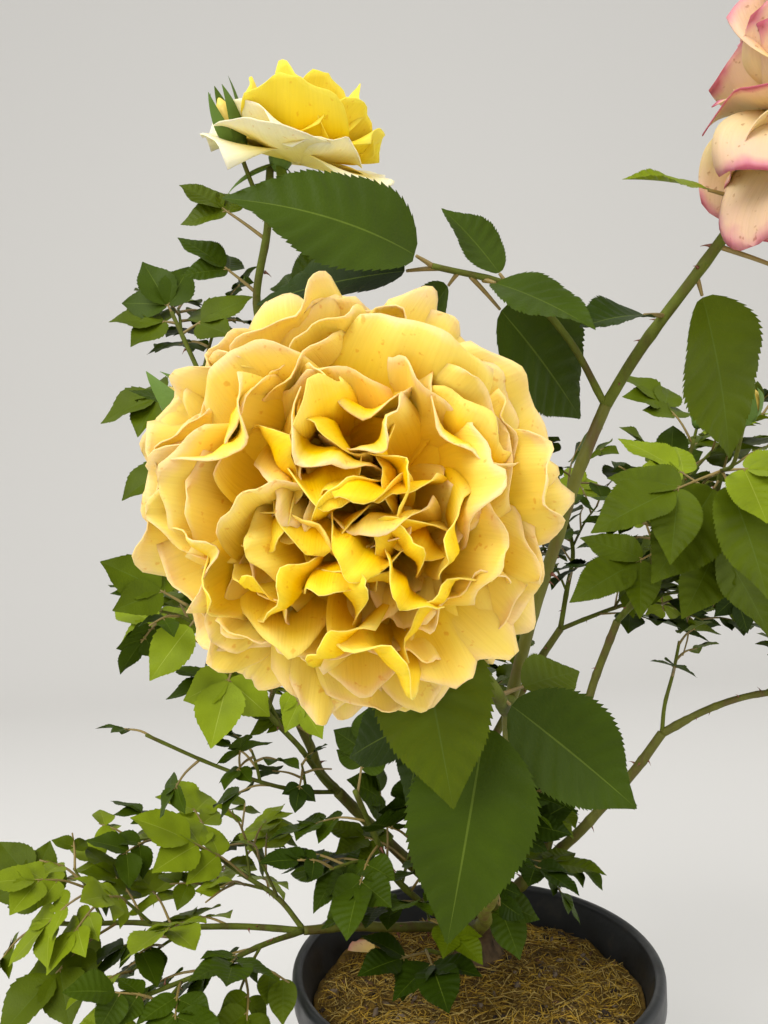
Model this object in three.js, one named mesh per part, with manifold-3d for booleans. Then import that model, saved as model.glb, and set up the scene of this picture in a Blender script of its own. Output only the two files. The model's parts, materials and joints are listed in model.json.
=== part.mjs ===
// Rose bush with very double yellow blooms, grown in a round nursery pot.
// Millimetres, +Z up. The pot stands on z = 0 with its axis on the z axis, and the big bloom faces -Y.
// The plant is an assembly: the pot, its soil, the graft union (the trunk of a grafted rose),
// the canes (the boughs) and the shoots (the masses of leaves, blooms and buds).
// Neighbouring pieces stand 0.3 mm apart.

import * as THREE from "three";
import { mergeVertices } from "three/addons/utils/BufferGeometryUtils.js";
import Module from "manifold-3d";

const wasm = await Module();
wasm.setup();

// Driving dimensions
const GAP = 0.3;
const POT = {
  height: 195,
  baseRadius: 80,
  mouthRadius: 110,
  wall: 2.2,
  floor: 2.6,
  lipDepth: 17,
  lipWidth: 6.8,
  sides: 32,
  holes: 8,
  holeRadius: 6.5,
  holeRing: 58,
};
const SOIL = { depth: 170.1, rings: 4, sides: 24, roughness: 2.6, flatAbout: 50 };
const UNION = { x: 4, y: 44, height: 37, girth: 13, sides: 12 };
// The union's outline: shares of its girth against shares of its height.
const UNION_ROWS = [
  [0, 0], [1.5, 0], [1.36, 0.06], [1.02, 0.22], [0.86, 0.4],
  [1.04, 0.62], [1.02, 0.8], [0.66, 0.95], [0, 1],
];

const CANE_SIDES = 6;
const STEM_SIDES = 4;
const TWIG_SIDES = 3;
const STEP_LENGTH = 30;
const CANE_KINK = 1.2;
const STEM_KINK = 1.6;
const STALK_RADIUS = 0.85;
const ROOT_DEPTH = 0.05;
const TINY_EDGES = [0.16, 0.12, 0.09, 0.06, 0.04, 0.02, 0];
const GRAINS = [1e-3, 1e-4];
const SOLID_LEAFLETS = 3;

const NODE_TURN = 137.5;
const LEAFLET_SHAPE = { breadth: 0.62, fold: 0.22, curl: 0.13, halfThickness: 0.016 };
const LEAFLET_WIDEST = 0.42;
const LEAF_BLADE_SHARE = 0.46;
const PAIR_PLACES = [0.93, 0.62, 0.35];
const PAIR_SIZES = [0.86, 0.7, 0.55];
const PAIR_SPREAD = 58;
const LEAF_TRIES = 5;
const SET_LEAF_DROOP = 0.1;
const CLEAR_OF_LEAF = 1.6;
const CLEAR_OF_LIMB = 1.2;
const CLEAR_AT_HOME = 0.1;

const PETAL_THICKNESS = 1.4;
const BLOOM_ROOM = 0.86;

// Colours
const BLACK_PLASTIC = 0x23272a;
const SOIL_BROWN = 0x5e4322;
const OLD_WOOD = 0x4d3d26;
const CANE_GREEN = 0x56652b;
const LEAF_GREEN = 0x4b6b26;
const YOUNG_GREEN = 0x7f9a36;
const BLOOM_YELLOW = 0xf2d56b;
const BLOOM_PINK = 0xe3b68d;

// Canes: each is one tapering limb that starts at the end of the limb it names,
// passes its bend and ends at its tip.
const CANES = [
  {
    name: "cane_front", from: "graft_union", foot: [4, 38, 196], bend: [0, -92, 264],
    tip: [-2, -215, 385], girth: [3.9, 2.8],
  },
  {
    name: "cane_right", from: "graft_union", foot: [10, 46, 199], bend: [32, 48, 210],
    tip: [53, 48, 227], girth: [4.5, 3.8],
  },
  {
    name: "cane_left", from: "graft_union", foot: [-1, 46, 200], bend: [-38, 38, 238],
    tip: [-80, 16, 290], girth: [4.2, 3.4],
  },
  {
    name: "cane_back", from: "graft_union", foot: [4, 50, 197], bend: [7, 78, 222], tip: [8, 104, 262],
    girth: [4.2, 3.6],
  },
  {
    name: "cane_low_left", from: "graft_union", foot: [-2, 40, 190], bend: [-50, 20, 204],
    tip: [-103, 2, 212], girth: [3.2, 2.6],
  },
  {
    name: "cane_pink", from: "cane_front", bend: [14, -225, 438], tip: [32, -232, 483],
    girth: [2.5, 2.3],
  },
  {
    name: "cane_mid", from: "cane_right", bend: [88, 55, 322], tip: [112, 42, 388], girth: [3.1, 2.6],
  },
  {
    name: "cane_low_right", from: "cane_right", bend: [96, 36, 270], tip: [131, 24, 316],
    girth: [3.4, 2.9],
  },
  {
    name: "cane_outer_right", from: "cane_low_right", bend: [170, 14, 336], tip: [212, 6, 343],
    girth: [2.7, 2.2],
  },
  {
    name: "cane_top", from: "cane_left", bend: [-101, -2, 342], tip: [-98, -60, 432], girth: [3.1, 2.5],
  },
  {
    name: "cane_back_left", from: "cane_back", bend: [-34, 130, 330], tip: [-72, 124, 396],
    girth: [3.4, 2.8],
  },
  {
    name: "cane_back_right", from: "cane_back", bend: [54, 134, 320], tip: [92, 128, 376],
    girth: [3.4, 2.8],
  },
];

// Shoots: each is one mass with its own stem. The seeded rule hangs "leaves" compound leaves on the
// stem above its "bare" share. Leaves that have a place of their own are listed with the tip of their
// end leaflet and the way the blade faces.
const SHOOTS = [
  {
    name: "main_bloom_shoot", from: "cane_front", bend: [-16, -262, 398], tip: [-51, -280, 452],
    girth: [2.5, 2.2], bloom: "main", seed: 11, leaves: 0,
    buds: [{ along: 0.72, tip: [-92, -264, 472] }],
    setLeaves: [
      { along: 0.5, tip: [-31, -274, 331], face: [0, -1, 0.25], blade: 59, pairs: 0 },
      { along: 0.42, tip: [25, -258, 363], face: [0.15, -1, 0.35], blade: 48, pairs: 0 },
      { along: 0.8, tip: [-29, -279, 373], face: [-0.1, -1, 0.15], blade: 54, pairs: 0, behind: true },
      { along: 0.4, tip: [18, -238, 399], face: [0.1, -0.8, 0.7], blade: 25, pairs: 0 },
      { along: 0.45, tip: [-62, -225, 372], face: [0, -0.8, 0.6], blade: 36, pairs: 1 },
    ],
  },
  {
    name: "upper_leaf_shoot", from: "cane_pink", bend: [11, -246, 511], tip: [-25, -255, 524],
    girth: [1.4, 1.1], seed: 12, leaves: 0,
    setLeaves: [
      { along: 1, tip: [-80, -266, 544], face: [-0.1, -0.92, 0.4], blade: 57, pairs: 0, curl: 0.36 },
      { along: 0.97, tip: [-84, -236, 526], face: [0.1, -0.85, 0.5], blade: 54, pairs: 0 },
      { along: 0.7, tip: [-17, -252, 541], face: [0.5, -0.8, 0.1], blade: 28, pairs: 0 },
      { along: 0.8, tip: [14, -275, 501], face: [0.1, -0.75, 0.65], blade: 38, pairs: 0 },
      { along: 0.85, tip: [31, -220, 481], face: [0, -1, 0.2], blade: 54, pairs: 0 },
      { along: 0.9, tip: [-38, -228, 500], face: [0.1, -0.8, 0.5], blade: 38, pairs: 0 },
    ],
  },
  {
    name: "pink_bloom_shoot", from: "cane_pink", bend: [52, -243, 512], tip: [82, -262, 552],
    girth: [2.2, 2.0], bloom: "pink", seed: 13, leaves: 0,
    setLeaves: [
      { along: 0.62, tip: [80, -224, 464], face: [0.1, -0.95, 0.3], blade: 58, pairs: 0 },
      { along: 0.45, tip: [17, -267, 503], face: [-0.1, -0.7, 0.7], blade: 30, pairs: 0 },
      { along: 0.85, tip: [34, -262, 549], face: [0, -0.6, 0.8], blade: 27, pairs: 0 },
      { along: 0.3, tip: [26, -215, 498], face: [0, -0.9, 0.4], blade: 24, pairs: 0 },
      { along: 0.72, tip: [132, -238, 506], face: [0.5, -0.5, 0.7], blade: 40, pairs: 1 },
      { along: 0.55, tip: [79, -252, 511], face: [0.3, -0.7, 0.7], blade: 24, pairs: 0 },
    ],
  },
  {
    name: "mid_front_shoot", from: "cane_mid", bend: [132, -28, 434], tip: [132, -90, 474],
    girth: [2.4, 1.7], seed: 14, leaves: 0, buds: [{ along: 1, tip: [117, -150, 490] }],
    setLeaves: [
      { along: 1, tip: [60, -101, 449], face: [-0.1, -0.75, 0.65], blade: 48, pairs: 1 },
      { along: 0.95, tip: [93, -93, 419], face: [0, -1, 0.2], blade: 60, pairs: 0 },
      { along: 1, tip: [139, -120, 412], face: [0.1, -1, 0.25], blade: 60, pairs: 0 },
      { along: 0.6, tip: [57, -62, 412], face: [0, -0.8, 0.6], blade: 44, pairs: 1 },
      { along: 0.7, tip: [158, -84, 388], face: [0.2, -0.8, 0.6], blade: 54, pairs: 1 },
      { along: 0.85, tip: [94, -50, 503], face: [0, -0.6, 0.8], blade: 38, pairs: 1 },
      { along: 1, tip: [176, -128, 470], face: [0.2, -0.7, 0.7], blade: 46, pairs: 1 },
    ],
  },
  {
    name: "top_bloom_shoot", from: "cane_top", bend: [-99, -122, 520], tip: [-86, -160, 609],
    girth: [2.5, 2.0], bloom: "top", seed: 15, leaves: 0, buds: [{ along: 0.9, tip: [-97, -172, 609] }],
    setLeaves: [
      { along: 0.84, tip: [-128, -150, 611], face: [0, -0.7, 0.7], blade: 24, pairs: 1 },
      { along: 0.72, tip: [-130, -146, 588], face: [0, -0.7, 0.7], blade: 26, pairs: 1 },
      { along: 0.62, tip: [-62, -128, 590], face: [0, -0.7, 0.7], blade: 30, pairs: 1 },
      { along: 0.45, tip: [-30, -110, 545], face: [0.2, -0.6, 0.7], blade: 36, pairs: 2 },
      { along: 0.35, tip: [-150, -150, 520], face: [-0.2, -0.6, 0.7], blade: 36, pairs: 2 },
      { along: 0.55, tip: [-100, -60, 590], face: [-0.2, 0.6, 0.7], blade: 36, pairs: 2 },
      { along: 0.68, tip: [-65, -170, 539], face: [0, -0.95, 0.3], blade: 42, pairs: 0 },
    ],
  },
  {
    name: "left_high_shoot", from: "cane_top", bend: [-128, -66, 510], tip: [-156, -66, 578],
    girth: [2.2, 1.4], seed: 16, leaves: 0,
    setLeaves: [
      { along: 1, tip: [-171, -66, 608], face: [0, -0.8, 0.6], blade: 30, pairs: 1 },
      { along: 0.95, tip: [-190, -70, 576], face: [0, -0.7, 0.7], blade: 30, pairs: 1 },
      { along: 0.9, tip: [-112, -66, 588], face: [0, -0.8, 0.6], blade: 32, pairs: 1 },
      { along: 0.7, tip: [-196, -74, 520], face: [0, -0.7, 0.7], blade: 34, pairs: 1 },
      { along: 0.5, tip: [-182, -84, 476], face: [0, -0.8, 0.6], blade: 32, pairs: 1 },
      { along: 0.75, tip: [-120, -5, 575], face: [0, 0.6, 0.8], blade: 38, pairs: 2 },
      { along: 0.45, tip: [-150, 5, 520], face: [-0.3, 0.6, 0.8], blade: 38, pairs: 2 },
    ],
  },
  {
    name: "left_mid_shoot", from: "cane_left", bend: [-112, -34, 348], tip: [-150, -72, 416],
    girth: [2.2, 1.4], seed: 17, leaves: 0,
    setLeaves: [
      { along: 1, tip: [-190, -86, 443], face: [0, -0.8, 0.6], blade: 34, pairs: 1 },
      { along: 0.95, tip: [-168, -84, 380], face: [0, -0.95, 0.3], blade: 34, pairs: 0 },
      { along: 0.75, tip: [-140, -74, 342], face: [0, -0.9, 0.4], blade: 36, pairs: 1 },
      { along: 0.6, tip: [-92, -82, 344], face: [0, -0.9, 0.4], blade: 36, pairs: 1 },
      { along: 0.5, tip: [-180, 10, 380], face: [-0.4, 0.3, 0.8], blade: 36, pairs: 2 },
      { along: 0.8, tip: [-205, -30, 420], face: [-0.5, -0.2, 0.8], blade: 34, pairs: 2 },
    ],
  },
  {
    name: "left_thin_shoot", from: "cane_left", bend: [-120, -22, 308], tip: [-180, -52, 345],
    girth: [1.6, 1.1], seed: 18, leaves: 4, bare: 0.3, leafLength: 52, pairs: 1, lift: 35, rise: 0.1,
  },
  {
    name: "left_front_shoot", from: "graft_union", foot: [-4, 36, 199], bend: [-40, -2, 236],
    tip: [-66, -46, 308], girth: [2.8, 1.8], seed: 41, leaves: 7, bare: 0.28, leafLength: 84, pairs: 2,
    lift: 30, rise: 0.25,
  },
  {
    name: "inner_front_shoot", from: "graft_union", foot: [6, 34, 202], bend: [14, 4, 240],
    tip: [22, -40, 296], girth: [2.4, 1.6], seed: 23, leaves: 5, bare: 0.35, leafLength: 78, pairs: 2,
    lift: 35, rise: 0.25,
  },
  {
    name: "front_basal_shoot", from: "graft_union", foot: [2, 33, 190], bend: [-14, 2, 196],
    tip: [-30, -30, 213], girth: [1.8, 1.3], seed: 20, leaves: 0,
    setLeaves: [
      { along: 1, tip: [-22, -84, 214], face: [0, -0.75, 0.65], blade: 36, pairs: 1 },
      { along: 0.9, tip: [-62, -62, 222], face: [-0.2, -0.6, 0.8], blade: 30, pairs: 1 },
    ],
  },
  {
    name: "low_left_shoot", from: "cane_low_left", bend: [-190, -4, 222], tip: [-262, -8, 228],
    girth: [2.3, 1.4], seed: 31, leaves: 8, bare: 0.16, leafLength: 84, pairs: 2, lift: 32, rise: 0.3,
  },
  {
    name: "low_left_front_shoot", from: "cane_low_left", bend: [-136, -34, 216], tip: [-180, -68, 214],
    girth: [2.0, 1.3], seed: 32, leaves: 5, bare: 0.24, leafLength: 80, pairs: 2, lift: 32, rise: 0.25,
  },
  {
    name: "low_left_back_shoot", from: "cane_low_left", bend: [-146, 34, 236], tip: [-210, 62, 256],
    girth: [2.0, 1.3], seed: 33, leaves: 6, bare: 0.2, leafLength: 84, pairs: 2, lift: 32, rise: 0.35,
  },
  {
    name: "right_twig_shoot", from: "cane_low_right", bend: [136, 20, 345], tip: [142, 12, 376],
    girth: [1.6, 1.1], seed: 24, leaves: 3, bare: 0.5, leafLength: 50, pairs: 1, lift: 40, rise: 0.2,
  },
  {
    name: "outer_right_shoot", from: "cane_outer_right", bend: [244, -10, 372], tip: [262, -24, 424],
    girth: [2.2, 1.4], seed: 25, leaves: 6, bare: 0.22, leafLength: 98, pairs: 2, lift: 35, rise: 0.35,
    buds: [{ along: 1 }],
  },
  {
    name: "far_right_shoot", from: "cane_outer_right", bend: [246, 16, 342], tip: [288, 26, 358],
    girth: [2.0, 1.3], seed: 26, leaves: 5, bare: 0.3, leafLength: 84, pairs: 2, lift: 35, rise: 0.3,
  },
  {
    name: "mid_high_shoot", from: "cane_mid", bend: [150, 50, 440], tip: [172, 40, 510],
    girth: [2.3, 1.5], seed: 27, leaves: 6, bare: 0.3, leafLength: 100, pairs: 2, lift: 35, rise: 0.3,
    buds: [{ along: 1 }],
  },
  {
    name: "back_left_shoot", from: "cane_back_left", bend: [-92, 104, 460], tip: [-96, 70, 520],
    girth: [2.4, 1.5], seed: 28, leaves: 7, bare: 0.2, leafLength: 96, pairs: 2, lift: 35, rise: 0.3,
    buds: [{ along: 1 }],
  },
  {
    name: "back_left_low_shoot", from: "cane_back_left", bend: [-126, 126, 416], tip: [-176, 112, 436],
    girth: [2.2, 1.4], seed: 29, leaves: 6, bare: 0.2, leafLength: 90, pairs: 2, lift: 35, rise: 0.3,
  },
  {
    name: "back_middle_shoot", from: "cane_back", bend: [6, 132, 350], tip: [0, 116, 450],
    girth: [2.6, 1.6], seed: 30, leaves: 8, bare: 0.2, leafLength: 98, pairs: 2, lift: 35, rise: 0.3,
  },
  {
    name: "back_right_shoot", from: "cane_back_right", bend: [104, 128, 436], tip: [92, 108, 498],
    girth: [2.4, 1.5], seed: 34, leaves: 6, bare: 0.2, leafLength: 94, pairs: 2, lift: 35, rise: 0.3,
  },
  {
    name: "back_right_low_shoot", from: "cane_back_right", bend: [144, 134, 392], tip: [194, 118, 404],
    girth: [2.2, 1.4], seed: 35, leaves: 6, bare: 0.2, leafLength: 90, pairs: 2, lift: 35, rise: 0.3,
  },
];

// Blooms: whorls of petals around an axis, from the guard petals to the heart.
// A ring is [petals, reach of the tips from the axis, height of the tips over the base, petal width].
const BLOOMS = {
  main: {
    axis: [0.03, -1, -0.1], core: [27, 37], colour: BLOOM_YELLOW,
    rings: [[9, 57, 6, 37], [9, 54, 17, 34], [8, 47, 28, 32], [7, 37, 37, 29], [5, 24, 43, 26]],
  },
  pink: {
    axis: [0.1, -0.16, 1], core: [21, 50], colour: BLOOM_PINK,
    rings: [[4, 31, -30, 44], [5, 36, 6, 46], [5, 32, 40, 44], [4, 20, 57, 36]],
  },
  top: {
    axis: [0.62, -0.3, 1], core: [17, 30], colour: BLOOM_YELLOW,
    rings: [[6, 44, 9, 40], [5, 36, 29, 37], [5, 25, 40, 31]],
  },
};
const PETAL_BULGE = { out: 0.82, up: 0.2 };
const PETAL_CUP = 0.3;
const PETAL_WIDEST = 0.66;
const BUD = { length: 21, radius: 5.4, sides: 6, stalkRadius: 1.1, stalkLength: 9 };

// Vectors as [x, y, z]
const add = (a, b) => [a[0] + b[0], a[1] + b[1], a[2] + b[2]];
const sub = (a, b) => [a[0] - b[0], a[1] - b[1], a[2] - b[2]];
const mul = (a, k) => [a[0] * k, a[1] * k, a[2] * k];
const dot = (a, b) => a[0] * b[0] + a[1] * b[1] + a[2] * b[2];
const cross = (a, b) => [a[1] * b[2] - a[2] * b[1], a[2] * b[0] - a[0] * b[2], a[0] * b[1] - a[1] * b[0]];
const size = (a) => Math.sqrt(dot(a, a));
const unit = (a) => mul(a, 1 / size(a));
const blend = (a, b, t) => add(mul(a, 1 - t), mul(b, t));
const radians = (degrees) => (degrees * Math.PI) / 180;
const across = (a, along) => unit(sub(a, mul(along, dot(a, along))));

// The seeded rule draws all its chances from here.
function seeded(seed) {
  let state = (seed * 7919 + 104729) % 2147483647;
  return () => {
    state = (state * 16807) % 2147483647;
    return state / 2147483647;
  };
}

// Paths of limbs: a smooth bow through the bend, with a small kink to either side at each step.
function spineOf(foot, bend, tip, kink) {
  const pull = sub(mul(bend, 2), mul(add(foot, tip), 0.5));
  const reach = size(sub(bend, foot)) + size(sub(tip, bend));
  const steps = Math.max(3, Math.round(reach / STEP_LENGTH));
  const sideways = unit([-(tip[1] - foot[1]) - 0.01, tip[0] - foot[0], 0]);
  const spine = [];
  for (let i = 0; i <= steps; i++) {
    const t = i / steps;
    const bow = add(add(mul(foot, (1 - t) * (1 - t)), mul(pull, 2 * t * (1 - t))), mul(tip, t * t));
    const sway = i === 0 || i === steps ? 0 : kink * (i % 2 === 0 ? 1 : -1);
    spine.push(add(bow, mul(sideways, sway)));
  }
  return spine;
}

function pointOn(spine, along) {
  const place = along * (spine.length - 1);
  const step = Math.min(Math.floor(place), spine.length - 2);
  const point = blend(spine[step], spine[step + 1], place - step);
  return { point, heading: unit(sub(spine[step + 1], spine[step])) };
}

function taper(spine, girth) {
  return spine.map((_, i) => girth[0] + ((girth[1] - girth[0]) * i) / (spine.length - 1));
}

// Compound leaves. The plan of a leaf is its stalk (a short path) and its leaflets, each with its own
// base, direction, facing, length and breadth. The end leaflet goes on from the stalk, the others
// stand in pairs along it.
function leafletAt(base, ahead, face, length, breadth, curl) {
  const facing = across(face, ahead);
  return { base, ahead, facing, side: cross(facing, ahead), length, breadth, curl };
}

function compoundLeaf(leaf, foot, ahead, stalkLength, chance) {
  const { face, blade, pairs, droop, curl } = leaf;
  const steps = 2;
  const stalk = [foot];
  const headings = [];
  let heading = ahead;
  let facing = across(face, ahead);
  for (let i = 0; i < steps; i++) {
    heading = unit(sub(heading, mul(facing, droop / steps)));
    facing = across(facing, heading);
    stalk.push(add(stalk[i], mul(heading, stalkLength / steps)));
    headings.push({ heading, facing });
  }
  const leaflets = [];
  const breadth = LEAFLET_SHAPE.breadth * (0.92 + 0.16 * chance());
  const root = mul(heading, -2 * ROOT_DEPTH);
  leaflets.push(leafletAt(add(stalk[steps], root), heading, facing, blade, blade * breadth, curl));
  for (let pair = 0; pair < pairs; pair++) {
    for (const hand of [-1, 1]) {
      const place = PAIR_PLACES[pair] - (hand > 0 ? 0.02 : 0.07) - 0.03 * chance();
      const spread = radians(PAIR_SPREAD + 16 * (chance() - 0.5));
      const tilt = 0.45 * (chance() - 0.5) - 0.1;
      const { point } = pointOn(stalk, place);
      const local = headings[Math.min(steps - 1, Math.floor(place * steps))];
      const side = mul(cross(local.facing, local.heading), hand);
      const outward = add(mul(local.heading, Math.cos(spread)), mul(side, Math.sin(spread)));
      const direction = unit(add(outward, mul(local.facing, tilt)));
      const length = blade * PAIR_SIZES[pair] * (0.92 + 0.16 * chance());
      const base = add(point, mul(direction, -ROOT_DEPTH));
      leaflets.push(leafletAt(base, direction, local.facing, length, length * breadth, curl));
    }
  }
  return { stalk, leaflets, facing: across(face, ahead) };
}

// Half the breadth of a leaflet at a share of its length, and how far its blade lies off the flat.
function leafletHalf(leaflet, share) {
  return (leaflet.breadth / 2) * Math.pow(Math.sin(Math.PI * Math.pow(share, 0.75)), 0.85);
}

const leafletLift = (leaflet, share, offset) =>
  LEAFLET_SHAPE.fold * Math.abs(offset) - leaflet.curl * leaflet.length * share * share;

function leafletPoint(leaflet, share, offset, height) {
  const lift = leafletLift(leaflet, share, offset) + height;
  const onMidrib = add(leaflet.base, mul(leaflet.ahead, leaflet.length * share));
  return add(add(onMidrib, mul(leaflet.side, offset)), mul(leaflet.facing, lift));
}

function leafletRim(leaflet) {
  const rim = [leafletPoint(leaflet, 0, 0, 0)];
  for (const share of [0.27, 0.66]) {
    rim.push(leafletPoint(leaflet, share, leafletHalf(leaflet, share), 0));
  }
  rim.push(leafletPoint(leaflet, 1, 0, 0));
  for (const share of [0.66, 0.27]) {
    rim.push(leafletPoint(leaflet, share, -leafletHalf(leaflet, share), 0));
  }
  return rim;
}

// The four corners of the faceted blade: base, widest on one side, tip, widest on the other side.
function leafletCorners(leaflet) {
  const half = 1.06 * leafletHalf(leaflet, LEAFLET_WIDEST);
  return [
    leafletPoint(leaflet, 0, 0, 0),
    leafletPoint(leaflet, LEAFLET_WIDEST, half, 0),
    leafletPoint(leaflet, 1, 0, 0),
    leafletPoint(leaflet, LEAFLET_WIDEST, -half, 0),
  ];
}

// Where a point lies against a leaflet: how far along, how far across and how high over its blade.
function placeAgainst(leaflet, point) {
  const from = sub(point, leaflet.base);
  const x = dot(from, leaflet.ahead);
  const y = dot(from, leaflet.side);
  const share = Math.min(Math.max(x / leaflet.length, 0), 1);
  return { x, y, height: dot(from, leaflet.facing) - leafletLift(leaflet, share, y), share };
}

function liesOver(leaflet, place, margin) {
  if (place.x < -margin || place.x > leaflet.length + margin) {
    return false;
  }
  return Math.abs(place.y) < leafletHalf(leaflet, place.share) + margin;
}

function touchesBall(leaflet, centre, radius) {
  const place = placeAgainst(leaflet, centre);
  return Math.abs(place.height) < radius && liesOver(leaflet, place, radius);
}

function rimCrosses(rim, leaflet, margin) {
  const parts = 4;
  for (let i = 0; i < rim.length; i++) {
    const end = rim[(i + 1) % rim.length];
    let before = placeAgainst(leaflet, rim[i]);
    for (let k = 1; k <= parts; k++) {
      const after = placeAgainst(leaflet, blend(rim[i], end, k / parts));
      const near = Math.abs(after.height) < margin || before.height * after.height < 0;
      if (near && (liesOver(leaflet, after, margin) || liesOver(leaflet, before, margin))) {
        return true;
      }
      before = after;
    }
  }
  return false;
}

// The crown: what has been placed so far and who owns it.
const crown = { balls: [], leaflets: [] };

function addBalls(owner, path, radii) {
  for (let i = 0; i + 1 < path.length; i++) {
    const length = size(sub(path[i + 1], path[i]));
    const steps = Math.max(1, Math.ceil(length / 3));
    for (let k = 0; k <= steps; k++) {
      const t = k / steps;
      const radius = radii[i] * (1 - t) + radii[i + 1] * t;
      crown.balls.push({ owner, centre: blend(path[i], path[i + 1], t), radius });
    }
  }
}

function potBlocks(point) {
  const outward = Math.hypot(point[0], point[1]);
  return (outward < POT.mouthRadius + 4 && point[2] < POT.height + 4) || point[2] < 4;
}

const middleOf = (leaflet) => add(leaflet.base, mul(leaflet.ahead, leaflet.length / 2));

function leafletIsFree(leaflet, owner, foot, behind) {
  const rim = leafletRim(leaflet);
  if (rim.some(potBlocks)) {
    return false;
  }
  const middle = middleOf(leaflet);
  for (const ball of crown.balls) {
    const reach = leaflet.length / 2 + ball.radius + 6;
    const apart = size(sub(ball.centre, middle));
    if (apart > reach || (ball.owner === owner && size(sub(ball.centre, foot)) < 9)) {
      continue;
    }
    const underOwnBloom = ball.bearer === owner;
    if (underOwnBloom && !behind && rim.some((point) => size(sub(point, ball.centre)) < ball.radius)) {
      return false;
    }
    if (!underOwnBloom && touchesBall(leaflet, ball.centre, ball.radius + CLEAR_OF_LIMB)) {
      return false;
    }
  }
  for (const other of crown.leaflets) {
    const reach = (leaflet.length + other.leaflet.length) / 2 + 6;
    if (size(sub(other.middle, middle)) > reach) {
      continue;
    }
    const margin = other.owner === owner ? CLEAR_AT_HOME : CLEAR_OF_LEAF;
    if (rimCrosses(rim, other.leaflet, margin) || rimCrosses(other.rim, leaflet, margin)) {
      return false;
    }
  }
  return true;
}

function stalkIsFree(stalk, owner, foot, behind) {
  for (let i = 0; i + 1 < stalk.length; i++) {
    for (const t of [0, 0.33, 0.67, 1]) {
      const point = blend(stalk[i], stalk[i + 1], t);
      if (potBlocks(point)) {
        return false;
      }
      for (const ball of crown.balls) {
        const apart = size(sub(ball.centre, point));
        const atHome = ball.owner === owner && size(sub(ball.centre, foot)) < 9;
        if (behind && ball.bearer === owner) {
          continue;
        }
        if (apart < ball.radius + STALK_RADIUS + CLEAR_OF_LIMB && !atHome) {
          return false;
        }
      }
      for (const other of crown.leaflets) {
        if (touchesBall(other.leaflet, point, STALK_RADIUS + CLEAR_OF_LEAF)) {
          return false;
        }
      }
    }
  }
  return true;
}

// One leaf is tried a few ways and takes the first that keeps all its leaflets, or else the fullest.
// A leaf that stands behind the bloom of its own shoot may reach into the bloom's room.
function placeLeaf(owner, foot, planOf, behind = false) {
  let best = null;
  for (let attempt = 0; attempt < LEAF_TRIES; attempt++) {
    const plan = planOf(attempt);
    if (!stalkIsFree(plan.stalk, owner, foot, behind)) {
      continue;
    }
    const free = plan.leaflets.filter((leaflet) => leafletIsFree(leaflet, owner, foot, behind));
    if (best === null || free.length > best.leaflets.length) {
      best = { ...plan, leaflets: free };
    }
    if (free.length === plan.leaflets.length) {
      break;
    }
  }
  if (best === null || best.leaflets.length === 0) {
    return null;
  }
  addBalls(owner, best.stalk, best.stalk.map(() => STALK_RADIUS));
  for (const leaflet of best.leaflets) {
    crown.leaflets.push({ owner, leaflet, rim: leafletRim(leaflet), middle: middleOf(leaflet) });
  }
  return best;
}

function setLeaf(shoot, spine, leaf, index) {
  const { point } = pointOn(spine, leaf.along);
  const planOf = (attempt) => {
    const chance = seeded(shoot.seed * 1000 + index * 10 + attempt);
    const nudge = [chance() - 0.5, chance() - 0.5, chance() - 0.5];
    const curl = leaf.curl || LEAFLET_SHAPE.curl;
    const straight = sub(add(leaf.tip, mul(nudge, attempt * 5)), point);
    const toward = add(straight, mul(across(leaf.face, unit(straight)), curl * leaf.blade));
    const stalkLength = Math.max(5, size(toward) - leaf.blade);
    return compoundLeaf({ ...leaf, curl, droop: SET_LEAF_DROOP }, point, unit(toward), stalkLength, chance);
  };
  return placeLeaf(shoot.name, point, planOf, leaf.behind);
}

function ruleLeaf(shoot, spine, index) {
  const along = shoot.bare + ((1 - shoot.bare) * (index + 0.8)) / shoot.leaves;
  const { point, heading } = pointOn(spine, Math.min(along, 1));
  const flat = unit(cross(heading, [0.02, 0.01, 1]));
  const upright = cross(flat, heading);
  return placeLeaf(shoot.name, point, (attempt) => {
    const chance = seeded(shoot.seed * 1000 + index * 10 + attempt);
    const turn = radians(index * NODE_TURN + 40 * attempt + 30 * (chance() - 0.5));
    const outward = add(mul(flat, Math.cos(turn)), mul(upright, Math.sin(turn)));
    const lift = radians(shoot.lift + 16 * (chance() - 0.5) + (along > 0.9 ? 25 : 0));
    const leaning = add(mul(outward, Math.cos(lift)), mul(heading, Math.sin(lift)));
    const ahead = unit(add(leaning, [0, 0, shoot.rise]));
    const sway = [0.7 * (chance() - 0.5), 0.7 * (chance() - 0.5)];
    const face = [sway[0] + 0.25 * outward[0], sway[1] + 0.25 * outward[1] - 0.15, 0.9];
    const young = 1 - 0.3 * along * along;
    const whole = shoot.leafLength * young * (0.85 + 0.3 * chance());
    const blade = whole * LEAF_BLADE_SHARE;
    const leaf = { face, blade, pairs: shoot.pairs, droop: 0.45 + 0.35 * chance(), curl: LEAFLET_SHAPE.curl };
    return compoundLeaf(leaf, point, ahead, whole - blade, chance);
  });
}

function leavesOf(shoot, spine) {
  const leaves = [];
  (shoot.setLeaves || []).forEach((leaf, index) => leaves.push(setLeaf(shoot, spine, leaf, index)));
  for (let index = 0; index < shoot.leaves; index++) {
    leaves.push(ruleLeaf(shoot, spine, index));
  }
  return leaves.filter((leaf) => leaf !== null);
}

// Petals. A petal springs from the axis of its bloom, bulges outward and ends at its tip.
function bloomFrame(bloom) {
  const axis = unit(bloom.axis);
  const right = unit(cross(axis, [0.1, 0.2, 1]));
  return { axis, right, up: cross(axis, right) };
}

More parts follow.
